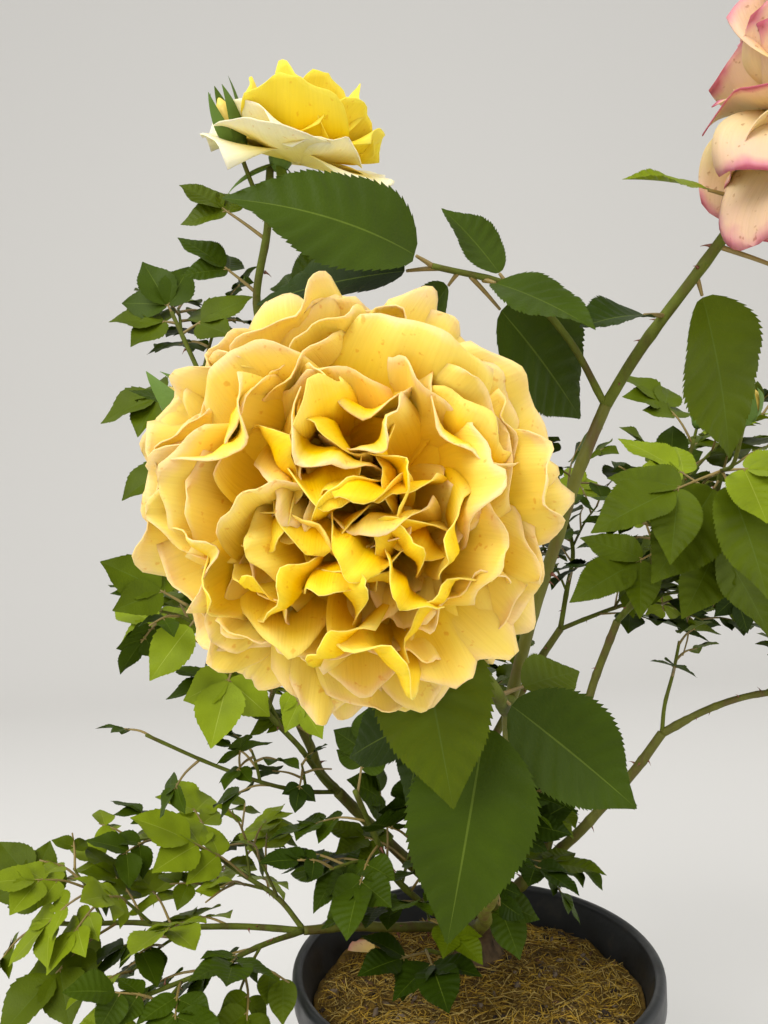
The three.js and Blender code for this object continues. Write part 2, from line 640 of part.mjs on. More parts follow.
function petalHalf(width, share) {
  const run = share < PETAL_WIDEST ? PETAL_WIDEST + 0.02 : 0.36;
  const over = (share - PETAL_WIDEST) / run;
  return (width / 2) * Math.sqrt(Math.max(0.02, 1 - over * over));
}

function petalPoint(frame, base, petal, share, offset, height) {
  const t = share;
  const out = 2 * t * (1 - t) * petal.reach * PETAL_BULGE.out + t * t * petal.reach;
  const rise = 2 * t * (1 - t) * petal.rise * PETAL_BULGE.up + t * t * petal.rise;
  const slopeOut = 2 * (1 - 2 * t) * petal.reach * PETAL_BULGE.out + 2 * t * petal.reach;
  const slopeRise = 2 * (1 - 2 * t) * petal.rise * PETAL_BULGE.up + 2 * t * petal.rise;
  const slope = Math.hypot(slopeOut, slopeRise);
  const outward = add(mul(frame.right, Math.cos(petal.turn)), mul(frame.up, Math.sin(petal.turn)));
  const sideways = cross(frame.axis, outward);
  const facing = add(mul(frame.axis, slopeOut / slope), mul(outward, -slopeRise / slope));
  const half = petalHalf(petal.width, share);
  const lift = PETAL_CUP * offset * offset * half + height;
  const onMiddle = add(add(base, mul(outward, out)), mul(frame.axis, rise));
  return add(add(onMiddle, mul(sideways, offset * half)), mul(facing, lift));
}

function petalsOf(bloom) {
  const petals = [];
  bloom.rings.forEach(([count, reach, rise, width], ring) => {
    for (let i = 0; i < count; i++) {
      const chance = seeded(ring * 100 + i + Math.round(reach));
      const turn = radians((360 * i) / count + ring * 41 + 14 * (chance() - 0.5));
      const vary = 0.94 + 0.12 * chance();
      const rises = rise + 5 * (chance() - 0.5);
      petals.push({ turn, reach: reach * vary, rise: rises, width: width * (0.9 + 0.2 * chance()) });
    }
  });
  return petals;
}

// Closed solids
function closedGeometry(points, triangles) {
  const geometry = new THREE.BufferGeometry();
  geometry.setAttribute("position", new THREE.Float32BufferAttribute(points.flat(), 3));
  geometry.setIndex(triangles.flat());
  return geometry;
}

function solidOf(geometry) {
  const bare = new THREE.BufferGeometry();
  bare.setAttribute("position", geometry.getAttribute("position"));
  bare.setIndex(geometry.getIndex());
  const merged = mergeVertices(bare, 1e-4);
  const index = merged.getIndex().array;
  const kept = [];
  for (let i = 0; i < index.length; i += 3) {
    const [a, b, c] = [index[i], index[i + 1], index[i + 2]];
    if (a !== b && b !== c && c !== a) {
      kept.push(a, b, c);
    }
  }
  const vertProperties = new Float32Array(merged.getAttribute("position").array);
  return new wasm.Manifold(new wasm.Mesh({ numProp: 3, vertProperties, triVerts: new Uint32Array(kept) }));
}

// Whether a surface is still closed once corners closer together than a grain are one.
function closesUp(geometry, grain) {
  const index = mergeVertices(geometry.clone(), grain).getIndex().array;
  const corners = index.length;
  const uses = new Map();
  for (let i = 0; i < corners; i += 3) {
    const [a, b, c] = [index[i], index[i + 1], index[i + 2]];
    if (a === b || b === c || c === a) {
      continue;
    }
    for (const [from, to] of [[a, b], [b, c], [c, a]]) {
      const key = Math.min(from, to) * corners + Math.max(from, to);
      uses.set(key, (uses.get(key) || 0) + 1);
    }
  }
  return [...uses.values()].every((count) => count === 2);
}

// A fused solid as one closed surface, without the tiny edges that fusing leaves where it can spare them.
function outerShell(solid) {
  for (const tiny of TINY_EDGES) {
    const shell = largestShell(tiny > 0 ? solid.simplify(tiny) : solid);
    if (GRAINS.every((grain) => closesUp(shell, grain))) {
      return shell;
    }
  }
  throw new Error("a fused solid does not close up");
}

// The largest shell: sealed hollows are filled and loose scraps dropped with the rest.
function largestShell(solid) {
  const mesh = solid.getMesh();
  const points = mesh.vertProperties;
  const triangles = mesh.triVerts;
  const group = Array.from({ length: points.length / 3 }, (_, i) => i);
  const find = (i) => {
    while (group[i] !== i) {
      group[i] = group[group[i]];
      i = group[i];
    }
    return i;
  };
  for (let i = 0; i < triangles.length; i += 3) {
    group[find(triangles[i])] = find(triangles[i + 1]);
    group[find(triangles[i + 1])] = find(triangles[i + 2]);
  }
  const corner = (i) => [points[3 * i], points[3 * i + 1], points[3 * i + 2]];
  const volumes = new Map();
  for (let i = 0; i < triangles.length; i += 3) {
    const [a, b, c] = [triangles[i], triangles[i + 1], triangles[i + 2]].map(corner);
    const key = find(triangles[i]);
    volumes.set(key, (volumes.get(key) || 0) + dot(a, cross(b, c)) / 6);
  }
  const [largest] = [...volumes.entries()].sort((a, b) => b[1] - a[1])[0];
  const kept = [];
  for (let i = 0; i < triangles.length; i += 3) {
    if (find(triangles[i]) === largest) {
      kept.push([triangles[i], triangles[i + 1], triangles[i + 2]]);
    }
  }
  const renumbered = new Map();
  const keptPoints = [];
  for (const triangle of kept) {
    for (let k = 0; k < 3; k++) {
      if (!renumbered.has(triangle[k])) {
        renumbered.set(triangle[k], keptPoints.length);
        keptPoints.push(corner(triangle[k]));
      }
      triangle[k] = renumbered.get(triangle[k]);
    }
  }
  return closedGeometry(keptPoints, kept);
}

// A tube with flat ends along a path, its rings carried along without twist.
function sweptGeometry(path, radii, sides, firstSide = null) {
  const points = [];
  const triangles = [];
  let side = firstSide;
  path.forEach((centre, i) => {
    const before = path[Math.max(0, i - 1)];
    const after = path[Math.min(path.length - 1, i + 1)];
    const ahead = unit(sub(after, before));
    side = across(side === null ? cross(ahead, [0.31, 0.17, 1]) : side, ahead);
    const other = cross(ahead, side);
    for (let k = 0; k < sides; k++) {
      const angle = (2 * Math.PI * k) / sides;
      const spoke = add(mul(side, Math.cos(angle)), mul(other, Math.sin(angle)));
      points.push(add(centre, mul(spoke, radii[i])));
    }
  });
  const last = (path.length - 1) * sides;
  for (let i = 0; i + 1 < path.length; i++) {
    for (let k = 0; k < sides; k++) {
      const [a, b] = [i * sides + k, i * sides + ((k + 1) % sides)];
      triangles.push([a, b, b + sides], [a, b + sides, a + sides]);
    }
  }
  for (let k = 1; k + 1 < sides; k++) {
    triangles.push([0, k + 1, k], [last, last + k, last + k + 1]);
  }
  return closedGeometry(points, triangles);
}

// The same limb grown by the gap on all sides, to cut away what would touch it.
function grownLimb(limb) {
  const first = limb.spine[0];
  const last = limb.spine[limb.spine.length - 1];
  const ahead = unit(sub(last, limb.spine[limb.spine.length - 2]));
  const path = [first, ...limb.spine.slice(1, -1), add(last, mul(ahead, GAP))];
  const flats = Math.cos(Math.PI / limb.sides);
  return solidOf(sweptGeometry(path, limb.radii.map((radius) => radius + GAP / flats), limb.sides));
}

// A blade: its rim joined to one point over its middle and one under it.
function doubleCone(rim, over, under) {
  const [overIndex, underIndex] = [rim.length, rim.length + 1];
  const triangles = [];
  for (let i = 0; i < rim.length; i++) {
    const next = (i + 1) % rim.length;
    triangles.push([i, overIndex, next], [i, next, underIndex]);
  }
  return closedGeometry([...rim, over, under], triangles);
}

// A body turned on an axis: the profile is [radius, height] from pole to pole.
function turnedGeometry(frame, base, profile, sides, swell) {
  const points = [];
  const triangles = [];
  const ringStart = (i) => 1 + (i - 1) * sides;
  const at = (radius, height, turn) => {
    const outward = add(mul(frame.right, Math.cos(turn)), mul(frame.up, Math.sin(turn)));
    return add(add(base, mul(outward, radius)), mul(frame.axis, height));
  };
  const last = profile.length - 1;
  points.push(at(0, profile[0][1], 0));
  for (let i = 1; i < last; i++) {
    for (let k = 0; k < sides; k++) {
      const turn = (2 * Math.PI * k) / sides;
      const [radius, height] = swell(profile[i][0], profile[i][1], turn);
      points.push(at(radius, height, turn));
    }
  }
  points.push(at(0, profile[last][1], 0));
  const top = points.length - 1;
  for (let k = 0; k < sides; k++) {
    const next = (k + 1) % sides;
    triangles.push([0, ringStart(1) + next, ringStart(1) + k]);
    for (let i = 1; i + 1 < last; i++) {
      const [a, b] = [ringStart(i) + k, ringStart(i) + next];
      triangles.push([a, b, b + sides], [a, b + sides, a + sides]);
    }
    triangles.push([top, ringStart(last - 1) + k, ringStart(last - 1) + next]);
  }
  return closedGeometry(points, triangles);
}

const UPRIGHT = { axis: [0, 0, 1], right: [1, 0, 0], up: [0, 1, 0] };
const plainSwell = (radius, height) => [radius, height];

// The pot: a tapering wall with a rolled lip, a flat underside and drainage holes round its floor.
function innerRadius(z) {
  return POT.baseRadius - POT.wall + ((POT.mouthRadius - POT.lipWidth - POT.baseRadius) * z) / POT.height;
}

function potGeometry() {
  const lipStart = POT.height - POT.lipDepth;
  const outer = innerRadius(lipStart) + POT.wall;
  const mouth = POT.mouthRadius;
  const inner = mouth - POT.lipWidth;
  const profile = [
    [0, 0],
    [POT.baseRadius - 2, 0],
    [POT.baseRadius, 2],
    [outer, lipStart - 3],
    [mouth - 2.4, lipStart],
    [mouth - 0.4, lipStart + 2.2],
    [mouth, POT.height - 3],
    [mouth - 2.4, POT.height],
    [inner + 1.4, POT.height - 0.6],
    [inner, POT.height - 3.4],
    [innerRadius(lipStart), lipStart],
    [innerRadius(POT.floor), POT.floor],
    [0, POT.floor],
  ];
  const lathe = new THREE.LatheGeometry(profile.map(([x, y]) => new THREE.Vector2(x, y)), POT.sides);
  lathe.rotateX(Math.PI / 2);
  let pot = solidOf(lathe);
  for (let i = 0; i < POT.holes; i++) {
    const turn = (2 * Math.PI * (i + 0.5)) / POT.holes;
    const hole = new THREE.CylinderGeometry(POT.holeRadius, POT.holeRadius, 4 * POT.floor, 8);
    hole.rotateX(Math.PI / 2);
    hole.translate(POT.holeRing * Math.cos(turn), POT.holeRing * Math.sin(turn), 0);
    pot = pot.subtract(solidOf(hole));
  }
  return outerShell(pot);
}

// The soil: fills the pot up to a little under the rim, its top uneven but flat about the plant's foot.
function soilTop(x, y) {
  const fromPlant = Math.hypot(x - UNION.x, y - UNION.y);
  const wave = Math.sin(x * 0.071 + 1.3) * Math.cos(y * 0.083) + 0.6 * Math.sin(x * 0.19 - y * 0.15);
  return SOIL.roughness * wave * Math.min(1, Math.max(0, (fromPlant - SOIL.flatAbout) / 20));
}

function soilGeometry() {
  const foot = POT.floor + GAP;
  const top = foot + SOIL.depth;
  const facet = Math.cos(Math.PI / POT.sides);
  const wallAt = (z) => innerRadius(z) * facet - GAP;
  const profile = [[0, foot], [wallAt(foot), foot], [wallAt(top - 4), top - 4]];
  for (let i = 0; i < SOIL.rings; i++) {
    profile.push([wallAt(top - 4) * (1 - (i + 0.04) / SOIL.rings), top]);
  }
  profile.push([0, top]);
  const uneven = (radius, height, turn) => {
    const onTop = height > top - 1 ? soilTop(radius * Math.cos(turn), radius * Math.sin(turn)) : 0;
    return [radius, height + onTop * (radius > wallAt(top) - 8 ? 0.3 : 1)];
  };
  return turnedGeometry(UPRIGHT, [0, 0, 0], profile, SOIL.sides, uneven);
}

// The graft union: a short knobbly stub with a flat foot, its root flare and the swelling the canes leave.
function unionGeometry(grow) {
  const foot = POT.floor + GAP + SOIL.depth + GAP;
  const profile = UNION_ROWS.map(([girth, share]) => [girth * UNION.girth, foot + share * UNION.height]);
  profile[0][1] -= grow;
  profile[profile.length - 1][1] += grow;
  const knobs = (radius, height, turn) => {
    const share = (height - foot) / UNION.height;
    const knob = 1 + 0.1 * Math.sin(3 * turn + 5 * share) + 0.06 * Math.sin(5 * turn + 1);
    return [radius * knob + grow * 1.1, height === foot ? height - grow : height + grow * (share - 0.5)];
  };
  return turnedGeometry(UPRIGHT, [UNION.x, UNION.y, 0], profile, UNION.sides, knobs);
}

// Leaflets, stalks, blooms and buds as closed solids
function leafletGeometry(leaflet) {
  const thick = Math.max(0.5, leaflet.length * LEAFLET_SHAPE.halfThickness);
  const over = leafletPoint(leaflet, LEAFLET_WIDEST, 0, thick);
  const under = leafletPoint(leaflet, LEAFLET_WIDEST, 0, -thick);
  return doubleCone(leafletCorners(leaflet), over, under);
}

function petalGeometry(frame, base, petal) {
  const corner = (share, offset, height) => petalPoint(frame, base, petal, share, offset, height);
  const claw = corner(0.03, 0, 0);
  const rim = [claw, corner(0.62, 1, 0), corner(0.95, 1, 0), corner(0.95, -1, 0), corner(0.62, -1, 0)];
  return doubleCone(rim, corner(0.66, 0, PETAL_THICKNESS / 2), corner(0.66, 0, -PETAL_THICKNESS / 2));
}

function bloomSolid(bloom, base) {
  const frame = bloomFrame(bloom);
  const [coreRadius, coreHeight] = bloom.core;
  const profile = [];
  const rows = 5;
  for (let i = 0; i <= rows; i++) {
    const turn = (Math.PI * i) / rows;
    const radius = coreRadius * Math.sin(turn) * (1 - 0.2 * Math.cos(turn));
    profile.push([radius, (coreHeight * (1 - Math.cos(turn))) / 2 - 2]);
  }
  let solid = solidOf(turnedGeometry(frame, base, profile, 8, plainSwell));
  for (const petal of petalsOf(bloom)) {
    solid = solid.add(solidOf(petalGeometry(frame, base, petal)));
  }
  return solid;
}

function budSolid(bud) {
  const { tip, heading } = bud;
  const right = across([0.3, 1, 0.2], heading);
  const frame = { axis: heading, right, up: cross(heading, right) };
  const shape = [[0, -0.32], [0.5, -0.24], [0.62, -0.1], [0.92, 0.12], [1, 0.35], [0.62, 0.74], [0, 1]];
  const profile = shape.map(([girth, share]) => [girth * BUD.radius, share * BUD.length]);
  return solidOf(turnedGeometry(frame, tip, profile, BUD.sides, plainSwell));
}

// Limbs
const limbs = new Map();

function makeLimb(spec, sides, kink) {
  const parent = limbs.get(spec.from);
  const foot = spec.foot || parent.spine[parent.spine.length - 1];
  const spine = spineOf(foot, spec.bend, spec.tip, kink);
  return { ...spec, spine, radii: taper(spine, spec.girth), sides };
}

function trimmed(limb, solid) {
  let cut = solid;
  for (const other of limbs.values()) {
    const shares = other.name === limb.from || (other.from === limb.from && other.name !== limb.name);
    if (shares && other.grown) {
      cut = cut.subtract(other.grown);
    }
  }
  return cut;
}

function caneSolid(limb) {
  const solid = trimmed(limb, solidOf(sweptGeometry(limb.spine, limb.radii, limb.sides)));
  limb.grown = grownLimb(limb);
  return solid;
}

// A bud stands on a thin stalk of its own, which bows up from the stem, or on the end of the stem.
function budOf(bud, spine) {
  const { point, heading } = pointOn(spine, bud.along);
  if (!bud.tip) {
    const tip = add(point, mul(heading, BUD.stalkLength));
    return { stalk: [point, tip], tip, heading };
  }
  const middle = add(blend(point, bud.tip, 0.5), [0, 0, -0.12 * size(sub(bud.tip, point))]);
  return { stalk: [point, middle, bud.tip], tip: bud.tip, heading: unit(sub(bud.tip, middle)) };
}

// Each limb claims its path before any leaf is placed.
function layOutLimbs() {
  limbs.set("graft_union", { name: "graft_union", grown: solidOf(unionGeometry(GAP)) });
  for (const cane of CANES) {
    limbs.set(cane.name, makeLimb(cane, CANE_SIDES, CANE_KINK));
  }
  for (const shoot of SHOOTS) {
    limbs.set(shoot.name, makeLimb(shoot, STEM_SIDES, STEM_KINK));
  }
  for (const limb of limbs.values()) {
    if (limb.spine) {
      addBalls(limb.name, limb.spine, limb.radii);
      limb.buds = (limb.buds || []).map((bud) => budOf(bud, limb.spine));
    }
    for (const bud of limb.buds || []) {
      addBalls(limb.name, bud.stalk, bud.stalk.map(() => BUD.stalkRadius));
      const centre = add(bud.tip, mul(bud.heading, BUD.length / 3));
      crown.balls.push({ owner: "", centre, radius: BUD.radius + 3 });
    }
    if (limb.bloom) {
      const bloom = BLOOMS[limb.bloom];
      const reach = bloom.rings[0][1];
      const base = limb.spine[limb.spine.length - 1];
      const middle = add(base, mul(unit(bloom.axis), bloom.rings[bloom.rings.length - 1][2] / 2));
      crown.balls.push({ owner: "", bearer: limb.name, centre: middle, radius: reach * BLOOM_ROOM });
    }
  }
}

function shootGeometry(shoot) {
  const limb = limbs.get(shoot.name);
  const tip = limb.spine[limb.spine.length - 1];
  let solid = trimmed(limb, solidOf(sweptGeometry(limb.spine, limb.radii, limb.sides)));
  limb.grown = grownLimb(limb);
  for (const leaf of leavesOf(shoot, limb.spine)) {
    const stalkRadii = leaf.stalk.map(() => STALK_RADIUS);
    solid = solid.add(solidOf(sweptGeometry(leaf.stalk, stalkRadii, TWIG_SIDES, leaf.facing)));
    for (const leaflet of leaf.leaflets.slice(0, SOLID_LEAFLETS)) {
      solid = solid.add(solidOf(leafletGeometry(leaflet)));
    }
  }
  if (shoot.bloom) {
    solid = solid.add(bloomSolid(BLOOMS[shoot.bloom], tip));
  }
  for (const bud of limb.buds) {
    solid = solid.add(solidOf(sweptGeometry(bud.stalk, bud.stalk.map(() => BUD.stalkRadius), TWIG_SIDES)));
    solid = solid.add(budSolid(bud));
  }
  return outerShell(solid);
}

// The named meshes
const plant = new THREE.Group();
plant.name = "potted_rose_bush";

function place(name, geometry, colour, roughness) {
  const separate = geometry.index ? geometry.toNonIndexed() : geometry;
  separate.computeVertexNormals();
  const material = new THREE.MeshStandardMaterial({ color: colour, roughness, metalness: 0 });
  const mesh = new THREE.Mesh(separate, material);
  mesh.name = name;
  plant.add(mesh);
}

layOutLimbs();
place("pot", potGeometry(), BLACK_PLASTIC, 0.55);
place("soil", soilGeometry(), SOIL_BROWN, 0.95);
place("graft_union", unionGeometry(0), OLD_WOOD, 0.9);
for (const cane of CANES) {
  place(cane.name, outerShell(caneSolid(limbs.get(cane.name))), CANE_GREEN, 0.6);
}
for (const shoot of SHOOTS) {
  const leafColour = shoot.name.includes("low_left") ? YOUNG_GREEN : LEAF_GREEN;
  const colour = shoot.bloom ? BLOOMS[shoot.bloom].colour : leafColour;
  place(shoot.name, shootGeometry(shoot), colour, 0.5);
}

export default plant;
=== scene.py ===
# A rose bush with very double yellow blooms in its round nursery pot, built on the packed part.
# Metres in Blender, millimetres in the tables of the plant; +Z up, the big bloom faces -Y.

import json
import math

import bpy
import numpy as np
from mathutils import Matrix, Vector

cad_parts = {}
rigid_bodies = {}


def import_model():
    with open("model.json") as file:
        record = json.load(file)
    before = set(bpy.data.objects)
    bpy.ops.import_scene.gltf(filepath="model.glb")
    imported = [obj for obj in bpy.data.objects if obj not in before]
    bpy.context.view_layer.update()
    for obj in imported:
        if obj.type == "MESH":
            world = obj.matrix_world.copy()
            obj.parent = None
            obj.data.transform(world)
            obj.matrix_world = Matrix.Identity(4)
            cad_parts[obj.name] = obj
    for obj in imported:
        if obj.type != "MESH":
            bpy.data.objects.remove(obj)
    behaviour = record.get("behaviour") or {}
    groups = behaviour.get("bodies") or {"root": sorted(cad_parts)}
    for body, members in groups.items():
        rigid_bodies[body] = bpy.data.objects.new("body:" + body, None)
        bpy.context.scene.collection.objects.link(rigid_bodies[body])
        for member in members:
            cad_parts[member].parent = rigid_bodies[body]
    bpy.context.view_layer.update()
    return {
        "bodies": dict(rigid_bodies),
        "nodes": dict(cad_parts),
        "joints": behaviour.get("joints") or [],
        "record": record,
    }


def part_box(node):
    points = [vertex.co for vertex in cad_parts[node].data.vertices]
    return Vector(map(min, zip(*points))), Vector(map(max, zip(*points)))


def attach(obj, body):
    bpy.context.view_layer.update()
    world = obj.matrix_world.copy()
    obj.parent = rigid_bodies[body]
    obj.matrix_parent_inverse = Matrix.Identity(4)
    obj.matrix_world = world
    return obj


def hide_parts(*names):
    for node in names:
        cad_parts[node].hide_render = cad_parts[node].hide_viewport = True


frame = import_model()

bl_info = {
    "name": "Potted Rose Bush",
    "version": (1, 0, 0),
    "blender": (4, 5, 0),
    "location": "View3D > Sidebar > Rose Bush",
    "description": "Builds a rose bush with double blooms in a nursery pot",
    "category": "Add Mesh",
}

MM = 0.001

# Driving dimensions of the pot and the plant in millimetres, shared with the part's source
POT_HEIGHT = 195.0
POT_BASE_RADIUS = 80.0
POT_MOUTH_RADIUS = 110.0
POT_WALL = 2.2
POT_FLOOR = 2.6
POT_LIP_DEPTH = 17.0
POT_LIP_WIDTH = 6.8
POT_LIP_ROLL = 3.2
POT_FOOT_ROUND = 2.4
POT_HOLLOW = 1.6
POT_HOLLOW_RADIUS = 40
POT_SIDES = 96
POT_HOLES = 8
POT_HOLE_RADIUS = 6.5
POT_HOLE_RING = 58.0
SOIL_TOP = 173.0
UNION_X = 4.0
UNION_Y = 44.0
UNION_HEIGHT = 37.0
UNION_GIRTH = 13.0
CLEAR_OF_UNION = 19

# How limbs bend: the length of a step between nodes, the kink at each node, and the stalks of
# leaves, which are sunk into their stem to a small depth
STEP_LENGTH = 30
CANE_KINK = 1.2
STEM_KINK = 1.6
STALK_RADIUS = 0.85
STALK_STEPS = 2
ROOT_DEPTH = 0.05

# How leaves stand: degrees from leaf to leaf round a stem, then the shares that shape a leaf
NODE_TURN = 137.5
LEAFLET_BREADTH = 0.62
LEAFLET_FOLD = 0.22
LEAFLET_CURL = 0.13
LEAF_BLADE_SHARE = 0.46
PAIR_PLACES = [0.93, 0.62, 0.35]
PAIR_SIZES = [0.86, 0.7, 0.55]
PAIR_SPREAD = 58
LEAF_TRIES = 5
SET_LEAF_DROOP = 0.1
CLEAR_OF_LEAF = 1.6
CLEAR_OF_LIMB = 1.2
CLEAR_AT_HOME = 0.1
CLEAR_OF_POT = 4
HOME_REACH = 9
BALL_STEP = 3
LOOK_FURTHER = 6

# Blooms and buds: the share of a bloom's room that leaves keep clear of, how many bundles make
# up a quartered heart, and the share of the way in from which its petals stay closed
BLOOM_ROOM = 0.86
BUNDLES = 5
CLOSED_FROM = 0.84
PETAL_OUT = 0.82
PETAL_UP = 0.2
PETAL_WIDEST = 0.64
SEPALS = 5
BUD_LENGTH = 21.0
BUD_RADIUS = 5.4
BUD_STALK_RADIUS = 1.1
BUD_STALK_LENGTH = 9.0

# Seeds of the chances that each kind of piece is dealt from
UNION_SEED = 41
CANE_SEED = 50
THORN_SEED = 61
SEPAL_SEED = 83
BUD_SEED = 89
STEM_SEED = 90
FIBRE_SEED = 301
CHIP_SEED = 302
TINT_SEED = 7000


def limb(name, bearer, bend, tip, girth, **more):
    """A limb that starts at the end of its bearer, or at a foot of its own, and passes its bend."""
    return {"name": name, "from": bearer, "bend": bend, "tip": tip, "girth": girth, **more}


def own_leaf(along, tip, face, blade, pairs, **more):
    """A leaf with its own place: where its stalk leaves the stem, and where its end leaflet reaches."""
    return {"along": along, "tip": tip, "face": face, "blade": blade, "pairs": pairs, **more}


def leafy(leaves, bare, length, pairs, lift, rise):
    """The habit of a stem that bears leaves by the seeded rule above its bare share."""
    return {
        "leaves": leaves, "bare": bare, "leaf_length": length, "pairs": pairs, "lift": lift, "rise": rise,
    }


# Canes: each is one limb from its foot over its bend to its tip, with the radius at foot and tip.
CANES = [
    limb("cane_front", "graft_union", [0, -92, 264], [-2, -215, 385], [3.9, 2.8], foot=[4, 38, 196]),
    limb("cane_right", "graft_union", [32, 48, 210], [53, 48, 227], [4.5, 3.8], foot=[10, 46, 199]),
    limb("cane_left", "graft_union", [-38, 38, 238], [-80, 16, 290], [4.2, 3.4], foot=[-1, 46, 200]),
    limb("cane_back", "graft_union", [7, 78, 222], [8, 104, 262], [4.2, 3.6], foot=[4, 50, 197]),
    limb(
        "cane_low_left", "graft_union", [-50, 20, 204], [-103, 2, 212], [3.2, 2.6], foot=[-2, 40, 190],
    ),
    limb("cane_pink", "cane_front", [14, -225, 438], [32, -232, 483], [2.5, 2.3]),
    limb("cane_mid", "cane_right", [88, 55, 322], [112, 42, 388], [3.1, 2.6]),
    limb("cane_low_right", "cane_right", [96, 36, 270], [131, 24, 316], [3.4, 2.9]),
    limb("cane_outer_right", "cane_low_right", [170, 14, 336], [212, 6, 343], [2.7, 2.2]),
    limb("cane_top", "cane_left", [-101, -2, 342], [-98, -60, 432], [3.1, 2.5]),
    limb("cane_back_left", "cane_back", [-34, 130, 330], [-72, 124, 396], [3.4, 2.8]),
    limb("cane_back_right", "cane_back", [54, 134, 320], [92, 128, 376], [3.4, 2.8]),
]

